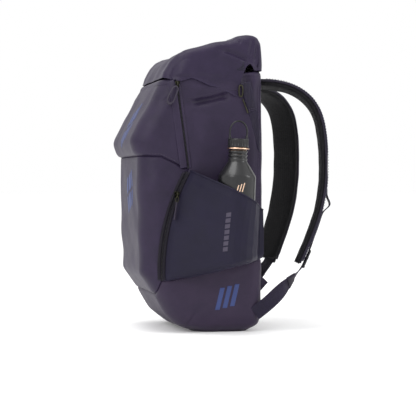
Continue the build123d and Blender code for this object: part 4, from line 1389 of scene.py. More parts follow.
@dataclass
class Closure:
    """The strap, wire hook and end tab that hold the roll down at one side."""

    hand: str

    def build(self) -> None:
        """Make the closure of this side."""
        side = 1 if self.hand == "right" else -1
        line = spline(np.array([(52.5, 431), (58.5, 405), (65.5, 380), (72, 348), (79, 312)]), 70)
        width = np.interp(np.linspace(0, 1, 70), (0, 0.42, 0.46, 0.75, 1.0), (17, 17.5, 16.5, 11, 3.5))
        share = np.linspace(-0.5, 0.5, 9)
        ahead = np.gradient(line, axis=0)
        ahead /= np.linalg.norm(ahead, axis=1, keepdims=True)
        across = np.stack([-ahead[:, 1], ahead[:, 0]], axis=1)
        flat = line[:, None] + across[:, None] * (width[:, None] * share)[..., None]
        step = 0.9 * smooth_step((0.43 - np.linspace(0, 1, 70)) / 0.02)
        lift = 2.1 + step[:, None] + 0.35 * (1 - (2 * share) ** 2)[None]
        x = SHAPE.side_x(flat[..., 0], flat[..., 1]) + lift
        grid = np.stack([x, flat[..., 0], flat[..., 1]], axis=2)
        if grid_normals(grid)[30, 4, 0] < 0:
            grid = grid[:, ::-1]
        if side < 0:
            grid = grid[:, ::-1] * np.array([-1.0, 1.0, 1.0])
        node = "closure_strap_" + self.hand
        obj = sheet_object("closure_band_" + self.hand, grid, 1.6)
        finish_piece(obj, "webbing", "bag", (node,))
        self.hook(side)
        self.tab(side)
        self.hem(side)

    def hook(self, side: int) -> None:
        """The wire hook with its long shank on the strap's front edge.

        Args:
            side: 1 for the right and -1 for the left.
        """
        node = "closure_hook_" + self.hand
        low, high = (np.array(p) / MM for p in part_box(node))
        x, y, z = (low + high) / 2
        wide, tall = (high[1] - low[1]) / 2 - 1.2, (high[2] - low[2]) / 2 - 1.2
        turn = np.linspace(0, 2 * np.pi, 48, endpoint=False)
        ring = np.column_stack([np.full(48, x),
                                y + wide * np.sign(np.cos(turn)) * np.abs(np.cos(turn)) ** 0.8,
                                z + tall * np.sign(np.sin(turn)) * np.abs(np.sin(turn)) ** 0.7])
        obj = tube_object("hook_wire_" + self.hand, ring, 1.25, 12, True)
        finish_piece(obj, "gunmetal", "hook_" + self.hand, (node,))
        shank = spline(np.array([(46.5, 402), (51.0, 391), (55.5, 378)]), 24)
        xs = SHAPE.side_x(shank[:, 0], shank[:, 1]) + 3.6
        line = np.column_stack([xs * side, shank])
        finish_piece(tube_object("hook_shank_" + self.hand, line, 1.2, 10), "gunmetal", "bag")

    def tab(self, side: int) -> None:
        """The small webbing tab under the end of the roll.

        Args:
            side: 1 for the right and -1 for the left.
        """
        node = "roll_end_tab_" + self.hand
        low, high = (np.array(p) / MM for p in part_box(node))
        z = np.linspace(low[2], high[2], 24)
        y = np.linspace(low[1] + 0.5, high[1] - 0.5, 9)
        grid = np.empty((24, 9, 3))
        grid[..., 1], grid[..., 2] = y[None], z[:, None]
        out = high[0] if side > 0 else -low[0]
        grid[..., 0] = out - 0.3 + 0.5 * np.sin(np.linspace(0, np.pi, 24))[:, None]
        if grid_normals(grid)[12, 4, 0] < 0:
            grid = grid[:, ::-1]
        if side < 0:
            grid = grid[:, ::-1] * np.array([-1.0, 1.0, 1.0])
        body = "roll_top" if any(node in names for names in (BODIES.get("roll_top", ()),)) else "bag"
        finish_piece(sheet_object("roll_tab_" + self.hand, grid, 1.4), "webbing", body, (node,))

    def hem(self, side: int) -> None:
        """Two stitch rows across the strap at its folded hem.

        Args:
            side: 1 for the right and -1 for the left.
        """
        rows = []
        for shift in (0.0, 3.0):
            ys, zs = np.linspace(57.5, 72.5, 12), np.linspace(381, 385.5, 12) + shift
            xs = SHAPE.side_x(ys, zs) + 3.6
            rows += stitch_row(np.column_stack([xs * side, ys, zs]), 2.6)
        finish_piece(merged("closure_stitches_" + self.hand, rows), "thread", "bag")


BODIES = frame["record"]["behaviour"]["bodies"]


def stitch_row(line: Grid, length: float = 3.0, gap: float = 1.3) -> list[tuple[Grid, list[tuple[int, ...]]]]:
    """Single stitches along a line on the cloth.

    Args:
        line: points of the line, on the cloth's face.
        length: length of a stitch.
        gap: gap from stitch to stitch.

    Returns:
        Meshes of the stitches.
    """
    total = float(np.linalg.norm(np.diff(line, axis=0), axis=1).sum())
    count = max(int(total / (length + gap)), 1)
    marks = even(line, count * 3 + 1)
    parts = []
    for k in range(count):
        a, b = marks[3 * k], marks[3 * k + 2]
        middle = (a + b) / 2
        parts.append(tube_mesh(np.array([a, middle, b]), np.array([0.22, 0.42, 0.22]), 6))
    return parts


@dataclass
class Prints:
    """Generic bars in matte ink and grey film, laid on the finished panels."""

    panels: dict[str, bpy.types.Object]
    ahead: float = -170.0
    columns: tuple[tuple[int, int], ...] = ((-6, 4), (10, 26), (32, 40))
    bands: tuple[tuple[int, int], ...] = ((206, 234), (240, 268), (322, 350), (356, 384))
    slope: float = 0.35

    def lay(self, name: str, shapes: list[Grid], way: Grid, targets: tuple[str, ...], finish: str,
            lift: float = 0.25) -> None:
        """Drop flat shapes onto panels.

        Args:
            name: the piece's name.
            shapes: outlines of four corners each, in space, ahead of the panels.
            way: direction of the drop.
            targets: the panels' object names.
            finish: the finish's field name.
            lift: how far the film stands off the cloth.
        """
        trees = [BVHTree.FromObject(bpy.data.objects[t],
                                    bpy.context.evaluated_depsgraph_get()) for t in targets]
        aim = Vector(way).normalized()
        parts = []
        for corners in shapes:
            corners = np.asarray(corners, float)
            n, m = 12, 30
            u, v = np.linspace(0, 1, n)[:, None, None], np.linspace(0, 1, m)[None, :, None]
            flat = ((1 - u) * (1 - v) * corners[0] + u * (1 - v) * corners[1] + u * v * corners[2]
                    + (1 - u) * v * corners[3])
            upper, lower, good = [], [], []
            for point in flat.reshape(-1, 3):
                best = None
                for tree in trees:
                    hit, normal, _, gone = tree.ray_cast(Vector(point) * MM, aim)
                    if hit is not None and (best is None or gone < best[2]):
                        best = (hit, normal, gone)
                good.append(best is not None and best[2] < 0.25)
                hit, normal = (best[0], best[1]) if best else (Vector(point) * MM, -aim)
                if normal.dot(aim) > 0:
                    normal = -normal
                upper.append(np.array(hit + normal * lift * MM) / MM)
                lower.append(np.array(hit - normal * 0.3 * MM) / MM)
            if not all(good):
                continue
            count = n * m
            ring = [i * m for i in range(n)] + [(n - 1) * m + j for j in range(1, m)]
            ring += [i * m + m - 1 for i in range(n - 2, -1, -1)] + [j for j in range(m - 2, -1, -1)]
            faces = grid_faces(n, m) + grid_faces(n, m, start=count, flip=True)
            faces += [(b, a, a + count, b + count) for a, b in zip(ring, ring[1:])]
            parts.append((np.array(upper + lower), faces))
        if parts:
            obj = merged(name, parts)
            obj.data.update()
            fix_normals(obj)
            finish_piece(obj, finish, "bag")

    def build(self) -> None:
        """Lay the bars on the front, the base and the side pocket."""
        front = []
        for low, top in self.bands:
            for x0, x1 in self.columns:
                rise0, rise1 = self.slope * x0, self.slope * x1
                front.append(np.array([(x0, self.ahead, low + rise0), (x1, self.ahead, low + rise1),
                                       (x1, self.ahead, top + rise1), (x0, self.ahead, top + rise0)]))
        self.lay("front_bars", front, (0, 1, 0), ("upper_pocket_panel", "lower_pocket_panel"), "ink")
        side = [np.array([(175, y, 40 + lift), (175, y + 8, 40 + lift), (175, y + 17, 78 + lift),
                          (175, y + 9, 78 + lift)]) for y, lift in ((-1, 0.0), (12, 3.0), (25, 6.0))]
        self.lay("base_bars", side, (-1, 0, 0), ("base_bowl",), "ink")
        film = []
        for k in range(7):
            tall, z = 7.0, 208.0 - 9.6 * k
            y = 6.0 - 0.09 * (208 - z)
            film.append(np.array([(230, y - 3.6, z - tall), (230, y + 3.6, z - tall + 1.2),
                                  (230, y + 4.2, z + 1.2),
                                  (230, y - 3.0, z)]))
        self.lay("pocket_bars", film, (-1, 0, 0), ("stretch_pocket_right",), "transfer")


def fix_normals(obj: bpy.types.Object) -> None:
    """Turn an object's faces outward.

    Args:
        obj: a closed mesh.
    """
    bm = bmesh.new()
    bm.from_mesh(obj.data)
    bmesh.ops.recalc_face_normals(bm, faces=bm.faces)
    bm.to_mesh(obj.data)
    bm.free()


# ---------------------------------------------------------------- straps and back panel


@dataclass
class Strap:
    """One shoulder strap: crowned mesh pad, cloth cover, edge binding, sewn webbing and ladder lock."""

    hand: str
    turn: float
    spread: float
    root_x: float = 56.0
    root_y: float = 84.0
    root_z: float = 432.0
    reach: float = 121.0
    foot: float = 117.0
    width: float = 62.0
    count: int = 120

    def axes(self) -> tuple[Grid, Grid, Grid]:
        """The strap plane's away, up and outward directions, on the right side."""
        turn, spread = math.radians(self.turn), math.radians(self.spread)
        away = np.array([math.sin(turn), math.cos(turn), 0.0])
        outward = np.array([math.cos(turn), -math.sin(turn), 0.0]) * math.cos(spread)
        outward[2] = math.sin(spread)
        return away, np.cross(outward, away), outward

    def path(self, count: int) -> Grid:
        """Middle of the strap in its plane.

        Args:
            count: points along it.

        Returns:
            Rows of distance away and height from the root.
        """
        r, d = self.reach, self.root_z - self.foot
        knots = np.array([(0, 0), (0.42 * r, -4), (0.82 * r, -34), (r, -0.36 * d), (0.98 * r, -0.61 * d),
                          (0.81 * r, -0.84 * d), (0.63 * r, -d)])
        return spline(knots, count, (np.array([1.0, 0.0]), np.array([-0.45, -1.0])))

    def place(self, flat: Grid, off: Grid, out: Grid) -> Grid:
        """Put strap coordinates in space.

        Args:
            flat: rows along the path.
            off: offsets from the middle line, out from the wearer, as rows and columns.
            out: offsets across the strap's width, as rows and columns.

        Returns:
            Points, mirrored for the left strap.
        """
        away, up, outward = self.axes()
        ahead = np.gradient(flat, axis=0)
        ahead /= np.linalg.norm(ahead, axis=1, keepdims=True)
        normal = np.column_stack([-ahead[:, 1], ahead[:, 0]])
        spot = flat[:, None] + normal[:, None] * off[..., None]
        origin = np.array([self.root_x, self.root_y, self.root_z])
        points = origin + spot[..., :1] * away + spot[..., 1:] * up + out[..., None] * outward
        if self.hand == "left":
            points = points * np.array([-1.0, 1.0, 1.0])
        return points

    def layer(self, name: str, start: float, stop: float, low: float, high: float, wide: float,
              crown: float, finish: str, nodes: tuple[str, ...],
               belly: float = 0.0) -> bpy.types.Object:
        """A closed layer of the strap with rounded edges.

        Args:
            name: the piece's name.
            start: where it starts, as a share of the path.
            stop: where it stops.
            low: its inner face's offset from the middle.
            high: its outer face's offset.
            wide: its full width.
            crown: how much its inner face swells at the middle.
            finish: the finish's field name.
            nodes: CAD nodes that it stands for.
            belly: how much its outer face swells at the middle.

        Returns:
            The new object.
        """
        path = self.path(400)
        i, j = int(start * 399), int(stop * 399)
        flat = even(path[i:j + 1], self.count)
        around = np.linspace(0, 2 * np.pi, 44, endpoint=False)
        share = np.linspace(0, 1, self.count)
        taper = 1 - 0.10 * smooth_step((share - 0.75) / 0.25) - 0.20 * smooth_step((share - 0.985) / 0.015)
        across = np.sign(np.cos(around)) * np.abs(np.cos(around)) ** 0.35
        lift = np.sign(np.sin(around)) * np.abs(np.sin(around)) ** 0.55
        half, middle = (high - low) / 2, (high + low) / 2
        out = across[None] * wide / 2 * taper[:, None]
        off = np.broadcast_to(middle + lift * half, out.shape).copy()
        swell = (1 - across ** 2)[None] * np.sin(np.pi * np.clip(share, 0.03, 0.97))[:, None] ** 0.4
        off = off - crown * swell * (lift < 0) + belly * swell * (lift > 0)
        points = self.place(flat, off, out)
        wave = ripple(points, 41 + int(self.turn), 60.0, 22.0)
        off = off + 0.35 * wave * np.sign(lift)[None]
        points = self.place(flat, off, out)
        faces = grid_faces(self.count, 44, False, True)
        last = (self.count - 1) * 44
        faces += [tuple(range(44))[::-1], tuple(range(last, last + 44))]
        obj = mesh_object(name + "_" + self.hand, points.reshape(-1, 3), faces)
        fix_normals(obj)
        finish_piece(obj, finish, "strap_" + self.hand, nodes)
        return obj

    def build(self) -> None:
        """Make the whole strap."""
        hand = self.hand
        pad = self.layer("strap_pad", 0.022, 1.0, -6.2, 2.8, self.width, 0.9, "mesh",
                         ("shoulder_pad_" + hand,))
        self.layer("strap_cover", 0.022, 0.986, 2.6, 6.6, self.width - 1.0, 0.0, "stretch",
                   ("shoulder_cover_" + hand,), 0.5)
        self.binding()
        self.webbing()
        self.lock()

    def binding(self) -> None:
        """Grosgrain binding along both long edges and its stitch rows."""
        flat = even(self.path(400)[9:], 150)
        parts, rows = [], []
        for sign in (-1, 1):
            edge = sign * (self.width / 2 - 0.4) * (1 - 0.10 * smooth_step((np.linspace(0, 1,
                                                                                        150) - 0.75) / 0.25))
            line = self.place(flat, np.full((150, 1), 2.6), edge[:, None])[:, 0]
            parts.append(tube_mesh(line, 1.9, 10, False, 0.8))
            seam = self.place(flat, np.full((150, 1), 7.0), (edge - sign * 4.5)[:, None])[:, 0]
            rows += stitch_row(seam[4:-4], 3.4, 1.6)
        finish_piece(merged("strap_binding_" + self.hand, parts), "tape", "strap_" + self.hand)
        finish_piece(merged("strap_stitches_" + self.hand, rows), "thread", "strap_" + self.hand)

    def webbing(self) -> None:
        """Webbing sewn flat on the cover, raised in one loop, then down to the lock."""
        path = self.path(400)
        i, j = int(0.66 * 399), int(0.93 * 399)
        flat = even(path[i:j + 1], 90)
        share = np.linspace(0, 1, 90)
        hump = 1.2 + 9.5 * np.exp(-((share - 0.22) / 0.10) ** 2) + 1.4 * smooth_step((share - 0.75) / 0.25)
        out = np.linspace(-12.5, 12.5, 11)
        off = 7.6 + hump[:, None] + np.zeros((1, 11))
        grid = self.place(flat, off, np.broadcast_to(out[None], off.shape))
        normals = grid_normals(grid)
        away, _, _ = self.axes()
        outer = away if self.hand == "right" else away * np.array([-1.0, 1.0, 1.0])
        if normals[45, 5] @ outer < 0:
            grid = grid[:, ::-1]
        obj = sheet_object("strap_web_" + self.hand, grid, 1.6)
        finish_piece(obj, "webbing", "strap_" + self.hand, ("strap_webbing_" + self.hand,))
        bars = []
        for mark in (3, 9, 50, 58):
            bars += stitch_row(grid[mark, 1:-1] + normals_out(grid)[mark, 1:-1] * 0.3, 2.2, 0.8)
        finish_piece(merged("web_bar_tacks_" + self.hand, bars), "thread", "strap_" + self.hand)

    def lock_frame(self) -> tuple[Grid, Grid, Grid, Grid]:
        """Place and directions of the ladder lock on its own side.

        Returns:
            Origin, across, along and off the strap.
        """
        path = self.path(400)
        away, up, outward = self.axes()
        step = path[-1] - path[-2]
        ahead = step / np.linalg.norm(step)
        normal = np.array([-ahead[1], ahead[0]])
        spot = path[int(0.955 * 399)] + normal * 7.8
        origin = np.array([self.root_x, self.root_y, self.root_z]) + spot[0] * away + spot[1] * up
        off = normal[0] * away + normal[1] * up
        along = np.cross(off, outward)
        mirror = np.array([-1.0, 1.0, 1.0]) if self.hand == "left" else np.ones(3)
        return origin * mirror, outward * mirror, along * mirror, off * mirror

    def lock(self) -> None:
        """The ladder lock: two side rails, three cross bars, the middle one with grip teeth."""
        origin, across, along, off = self.lock_frame()
        parts = []

        def bar(a: tuple[float, float, float], b: tuple[float, float, float], size: float,
                flat: float) -> None:
            """Add one bar between two places in the lock's own frame."""
            ends = np.array([origin + across * p[0] + along * p[1] + off * p[2] for p in (a, b)])
            line = ends[0] + (ends[1] - ends[0]) * np.linspace(0, 1, 12)[:, None]
            radius = size * np.ones(12)
            radius[0] = radius[-1] = size * 0.7
            parts.append(tube_mesh(line, radius, 12, False, flat))

        for x in (-13.6, 13.6):
            bar((x, -10.5, 3.0), (x, 22.5, 3.4), 1.9, 1.0)
        for y, z, size in ((-9.2, 2.6, 1.9), (3.6, 3.4, 2.0), (20.5, 3.8, 2.5)):
            bar((-14.2, y, z), (14.2, y, z), size, 0.9)
        for k in range(7):
            x = -9.0 + 3.0 * k
            bar((x, 1.6, 5.0), (x, 5.6, 5.0), 0.6, 1.0)
        obj = merged("web_adjuster_" + self.hand, parts)
        finish_piece(obj, "acetal", "lock_" + self.hand, ("ladder_lock_" + self.hand,))

    def lower_web(self) -> None:
        """The lower webbing, twisted on its way from the side seam up to the lock, and its keeper band."""
        origin, across, along, off = self.lock_frame()
        sign = 1.0 if self.hand == "right" else -1.0
        start = np.array([sign * (SHAPE.side_x(np.array(62.0), np.array(38.0)) + 1.8), 70.0, 32.0])
        stop = origin + along * 3.6 + off * 2.2
        knots = np.array([start, start + np.array([sign * 2.0, 22.0, 17.0]), start + (stop - start) * 0.55
                          + np.array([sign * 1.5, 4.0, -6.0]), stop + along * 10 + off * 0.5, stop])
        line = spline(knots, 110)
        ahead = np.gradient(line, axis=0)
        ahead /= np.linalg.norm(ahead, axis=1, keepdims=True)
        flat_start = np.cross(ahead[0], np.array([sign, 0.0, 0.0]))
        rows = []
        for k, (point, way) in enumerate(zip(line, ahead)):
            share = float(smooth_step(np.array((k / 109 - 0.30) / 0.55)))
            a, b = flat_start, across if flat_start @ across > 0 else -across
            wide = a * math.cos(share * math.pi / 2) + b * math.sin(share * math.pi / 2)
            wide = wide - way * (wide @ way)
            wide /= np.linalg.norm(wide)
            reach = np.linspace(-12.4, 12.4, 11)
            cup = 0.5 * (1 - (reach / 12.4) ** 2)
            rows.append(point + wide * reach[:, None] + np.cross(way, wide) * cup[:, None])
        grid = np.array(rows)
        if grid_normals(grid)[10, 5, 0] * sign < 0:
            grid = grid[:, ::-1]
        obj = sheet_object("lower_web_" + self.hand, grid, 1.7)
        FINISH.dress(obj, "webbing")
        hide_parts("lower_webbing_" + self.hand)
        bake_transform(obj)
        keeper = self.keeper(grid[64:78])
        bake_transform(keeper)
        LOG.info("made %s", obj.name)

    def keeper(self, part: Grid) -> bpy.types.Object:
        """Elastic band round both layers of the webbing.

        Args:
            part: the rows of webbing that it covers.

        Returns:
            The band.
        """
        normals = grid_normals(part)
        wide = part[:, -1:] - part[:, :1]
        wide = wide / np.linalg.norm(wide, axis=2, keepdims=True)
        front = part + normals * 1.3
        back = (part - normals * 3.0)[:, ::-1]
        edge_a = part[:, -1:] + wide * 1.4 - normals[:, -1:] * 0.9
        edge_b = part[:, :1] - wide * 1.4 - normals[:, :1] * 0.9
        ring = np.concatenate([front, edge_a, back, edge_b], axis=1)
        rows, cols = ring.shape[:2]
        faces = grid_faces(rows, cols, False, True)
        faces += [tuple(range(cols))[::-1], tuple(range((rows - 1) * cols, rows * cols))]
        obj = mesh_object("web_keeper_" + self.hand, ring.reshape(-1, 3), faces)
        fix_normals(obj)
        FINISH.dress(obj, "tape")
        return obj


def normals_out(grid: Grid) -> Grid:
    """Normals of a grid surface, the way the sheet's outer face looks."""
    return grid_normals(grid)


@dataclass
class BackPanel:
    """Pads, strap yoke, haul loop and anchor tabs."""

    def build(self) -> None:
        """Make the back panel's pieces."""
        for node, fill in (("back_pad_right", 0.7), ("back_pad_left", 0.7), ("lumbar_pad", 0.7)):
            self.pad(node, fill)
        self.yoke()
        self.haul()
        for hand in ("right", "left"):
            self.tab(hand)

    def pad(self, node: str, fill: float) -> None:
        """One mesh pad, swollen by a short cloth simulation, with a sewn channel.

        Args:
            node: the CAD node that it stands for.
            fill: how full it is; not used.
        """
        low, high = (np.array(p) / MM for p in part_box(node))
        middle, size = (low + high) / 2, (high - low) / 2 - np.array([1.0, 1.6, 1.0])
        bm = bmesh.new()
        bmesh.ops.create_cube(bm, size=2.0)
        for vert in bm.verts:
            vert.co = Vector((middle + np.array(vert.co) * size) * MM)
        tall = [e for e in bm.edges if abs(e.verts[0].co.y - e.verts[1].co.y) > 1e-6]
        bmesh.ops.bevel(bm, geom=tall, offset=13 * MM, segments=6, affect="EDGES", profile=0.5)
        mesh = bpy.data.meshes.new(node)
        bm.to_mesh(mesh)
        bm.free()
        obj = bpy.data.objects.new("padded_" + node, mesh)
        bpy.context.scene.collection.objects.link(obj)
        settle_cushion(obj, 5.0, 2.6)
        co = np.empty(len(obj.data.vertices) * 3)
        obj.data.vertices.foreach_get("co", co)
        co = co.reshape(-1, 3) / MM
        flat = co[:, 1] < middle[1] - size[1] * 0.4
        co[flat, 1] = np.maximum(co[flat, 1], low[1] + 0.2)
        outer = smooth_step((co[:, 1] - middle[1]) / 2.0)
        tall_pad = high[2] - low[2] > high[0] - low[0]
        marks = (low[2] + (high[2] - low[2]) * np.array([0.25, 0.5, 0.75])) if tall_pad else ()
        for mark in marks:
            line = mark + 0.10 * np.abs(co[:, 0] - middle[0])
            co[:, 1] -= 2.3 * outer * np.exp(-((co[:, 2] - line) / 2.4) ** 2)
        if not tall_pad:
            for mark in (low[0] + 50, high[0] - 50):
                co[:, 1] -= 2.3 * outer * np.exp(-((co[:, 0] - mark) / 2.4) ** 2)
        obj.data.vertices.foreach_set("co", (co * MM).ravel())
        obj.data.update()
        finish_piece(obj, "mesh", "bag", (node,))

    def yoke(self) -> None:
        """The stitched yoke that holds both strap roots."""
        low, high = (np.array(p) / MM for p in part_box("strap_yoke"))
        x = np.linspace(high[0], low[0], 90)
        z = np.linspace(low[2], high[2], 26)
        grid = np.empty((90, 26, 3))
        grid[..., 0], grid[..., 2] = x[:, None], z[None]
        edge = np.minimum(np.minimum(grid[..., 0] - low[0], high[0] - grid[..., 0]),
                          np.minimum(grid[..., 2] - low[2], high[2] - grid[..., 2]))
        grid[..., 1] = high[1] - 2.0 * np.exp(-(edge / 2.2) ** 2) + 0.3 * ripple(grid, 51, 50, 18)
        if grid_normals(grid)[45, 13, 1] < 0:
            grid = grid[::-1]
        finish_piece(sheet_object("sewn_yoke", grid, 3.0), "body", "bag", ("strap_yoke",))
        rows = []
        for inset in (4.0, 7.0):
            for z_line in (low[2] + inset, high[2] - inset):
                xs = np.linspace(low[0] + inset, high[0] - inset, 60)
                rows += stitch_row(np.column_stack([xs, np.full(60, high[1] + 0.25), np.full(60, z_line)]),
                                   3.2)
        finish_piece(merged("yoke_stitches", rows), "thread", "bag")

    def haul(self) -> None:
        """The rolled haul loop."""
        low, high = (np.array(p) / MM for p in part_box("haul_loop"))
        x, y, z = (low + high) / 2
        wide, tall = (high[0] - low[0]) / 2 - 5.0, (high[2] - low[2]) / 2 - 5.0
        turn = np.linspace(0, 2 * np.pi, 72, endpoint=False)
        line = np.column_stack([x + wide * np.sign(np.cos(turn)) * np.abs(np.cos(turn)) ** 0.7,
                                np.full(72,
                                        y), z + tall * np.sign(np.sin(turn)) * np.abs(np.sin(turn)) ** 0.7])
        size = 4.4 + 0.5 * np.cos(turn) ** 2
        points, faces = tube_mesh(line, size, 16, True)
        points[:, 1] = y + (points[:, 1] - y) * 0.46
        finish_piece(merged("haul_handle", [(points, faces)]), "webbing", "haul", ("haul_loop",))

    def tab(self, hand: str) -> None:
        """The triangular tab above the lower webbing.

        Args:
            hand: right or left.
        """
        node = "anchor_tab_" + hand
        low, high = (np.array(p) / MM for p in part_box(node))
        x = (low[0] + high[0]) / 2
        a = np.linspace(0, 1, 16)[:, None]
        b = np.linspace(0, 1, 16)[None, :]
        apex = np.array([high[1], low[2] + (high[2] - low[2]) * 0.53])
        edge = np.stack([np.full(16, low[1] + 1.0), np.linspace(low[2], high[2], 16)], axis=1)
        flat = edge[None] * (1 - a[..., None] * 0.97) + apex * a[..., None] * 0.97
        swell = 0.9 * np.sin(np.pi * b) * (1 - a) + 0.3
        faces_out = []
        for sign in (1, -1):
            grid = np.empty((16, 16, 3))
            grid[..., 0] = x + sign * swell
            grid[..., 1:] = flat
            faces_out.append(grid)
        points = np.concatenate([g.reshape(-1, 3) for g in faces_out])
        ring = [i * 16 for i in range(16)] + [15 * 16 + j for j in range(1, 16)]
        ring += [i * 16 + 15 for i in range(14, -1, -1)] + [j for j in range(14, -1, -1)]
        faces = grid_faces(16, 16) + grid_faces(16, 16, start=256, flip=True)
        faces += [(p, q, q + 256, p + 256) for p, q in zip(ring, ring[1:])]
        obj = mesh_object("sewn_tab_" + hand, points, faces)
        fix_normals(obj)
        finish_piece(obj, "body", "bag", (node,))


def settle_cushion(obj: bpy.types.Object, voxel: float, cap: float) -> None:
    """Swell a pad with a short cloth simulation and keep the result.

    Args:
        obj: the pad as a rough solid.
        voxel: remesh size.
        cap: furthest that a point may move.
    """
    bpy.context.view_layer.objects.active = obj
    remesh = obj.modifiers.new("remesh", "REMESH")
    remesh.mode, remesh.voxel_size = "VOXEL", min(voxel, 3.0) * MM
    bpy.ops.object.modifier_apply(modifier=remesh.name)
    rest = np.empty(len(obj.data.vertices) * 3)
    obj.data.vertices.foreach_get("co", rest)
    cloth = obj.modifiers.new("cloth", "CLOTH")
    cloth.settings.use_pressure = True
    cloth.settings.uniform_pressure_force = 4.0
    cloth.settings.effector_weights.gravity = 0.0
    scene = bpy.context.scene
    for number in range(1, 21):
        scene.frame_set(number)
    dg = bpy.context.evaluated_depsgraph_get()
    moved = np.array([v.co for v in obj.evaluated_get(dg).data.vertices], float).ravel()
    shift = (moved - rest).reshape(-1, 3)
    length = np.linalg.norm(shift, axis=1, keepdims=True)
    shift *= np.minimum(1.0, cap * MM / np.maximum(length, 1e-9))
    obj.modifiers.remove(cloth)
    scene.frame_set(1)
    obj.data.vertices.foreach_set("co", (rest.reshape(-1, 3) + shift).ravel())
    soft = obj.modifiers.new("smooth", "SMOOTH")
    soft.factor, soft.iterations = 0.5, 4
    bpy.ops.object.modifier_apply(modifier=soft.name)
    fine = obj.modifiers.new("subdivide", "SUBSURF")
    fine.levels = fine.render_levels = 1
    bpy.ops.object.modifier_apply(modifier=fine.name)
    obj.data.polygons.foreach_set("use_smooth", [True] * len(obj.data.polygons))
    obj.data.update()


# ---------------------------------------------------------------- bottle, inner parts and stage


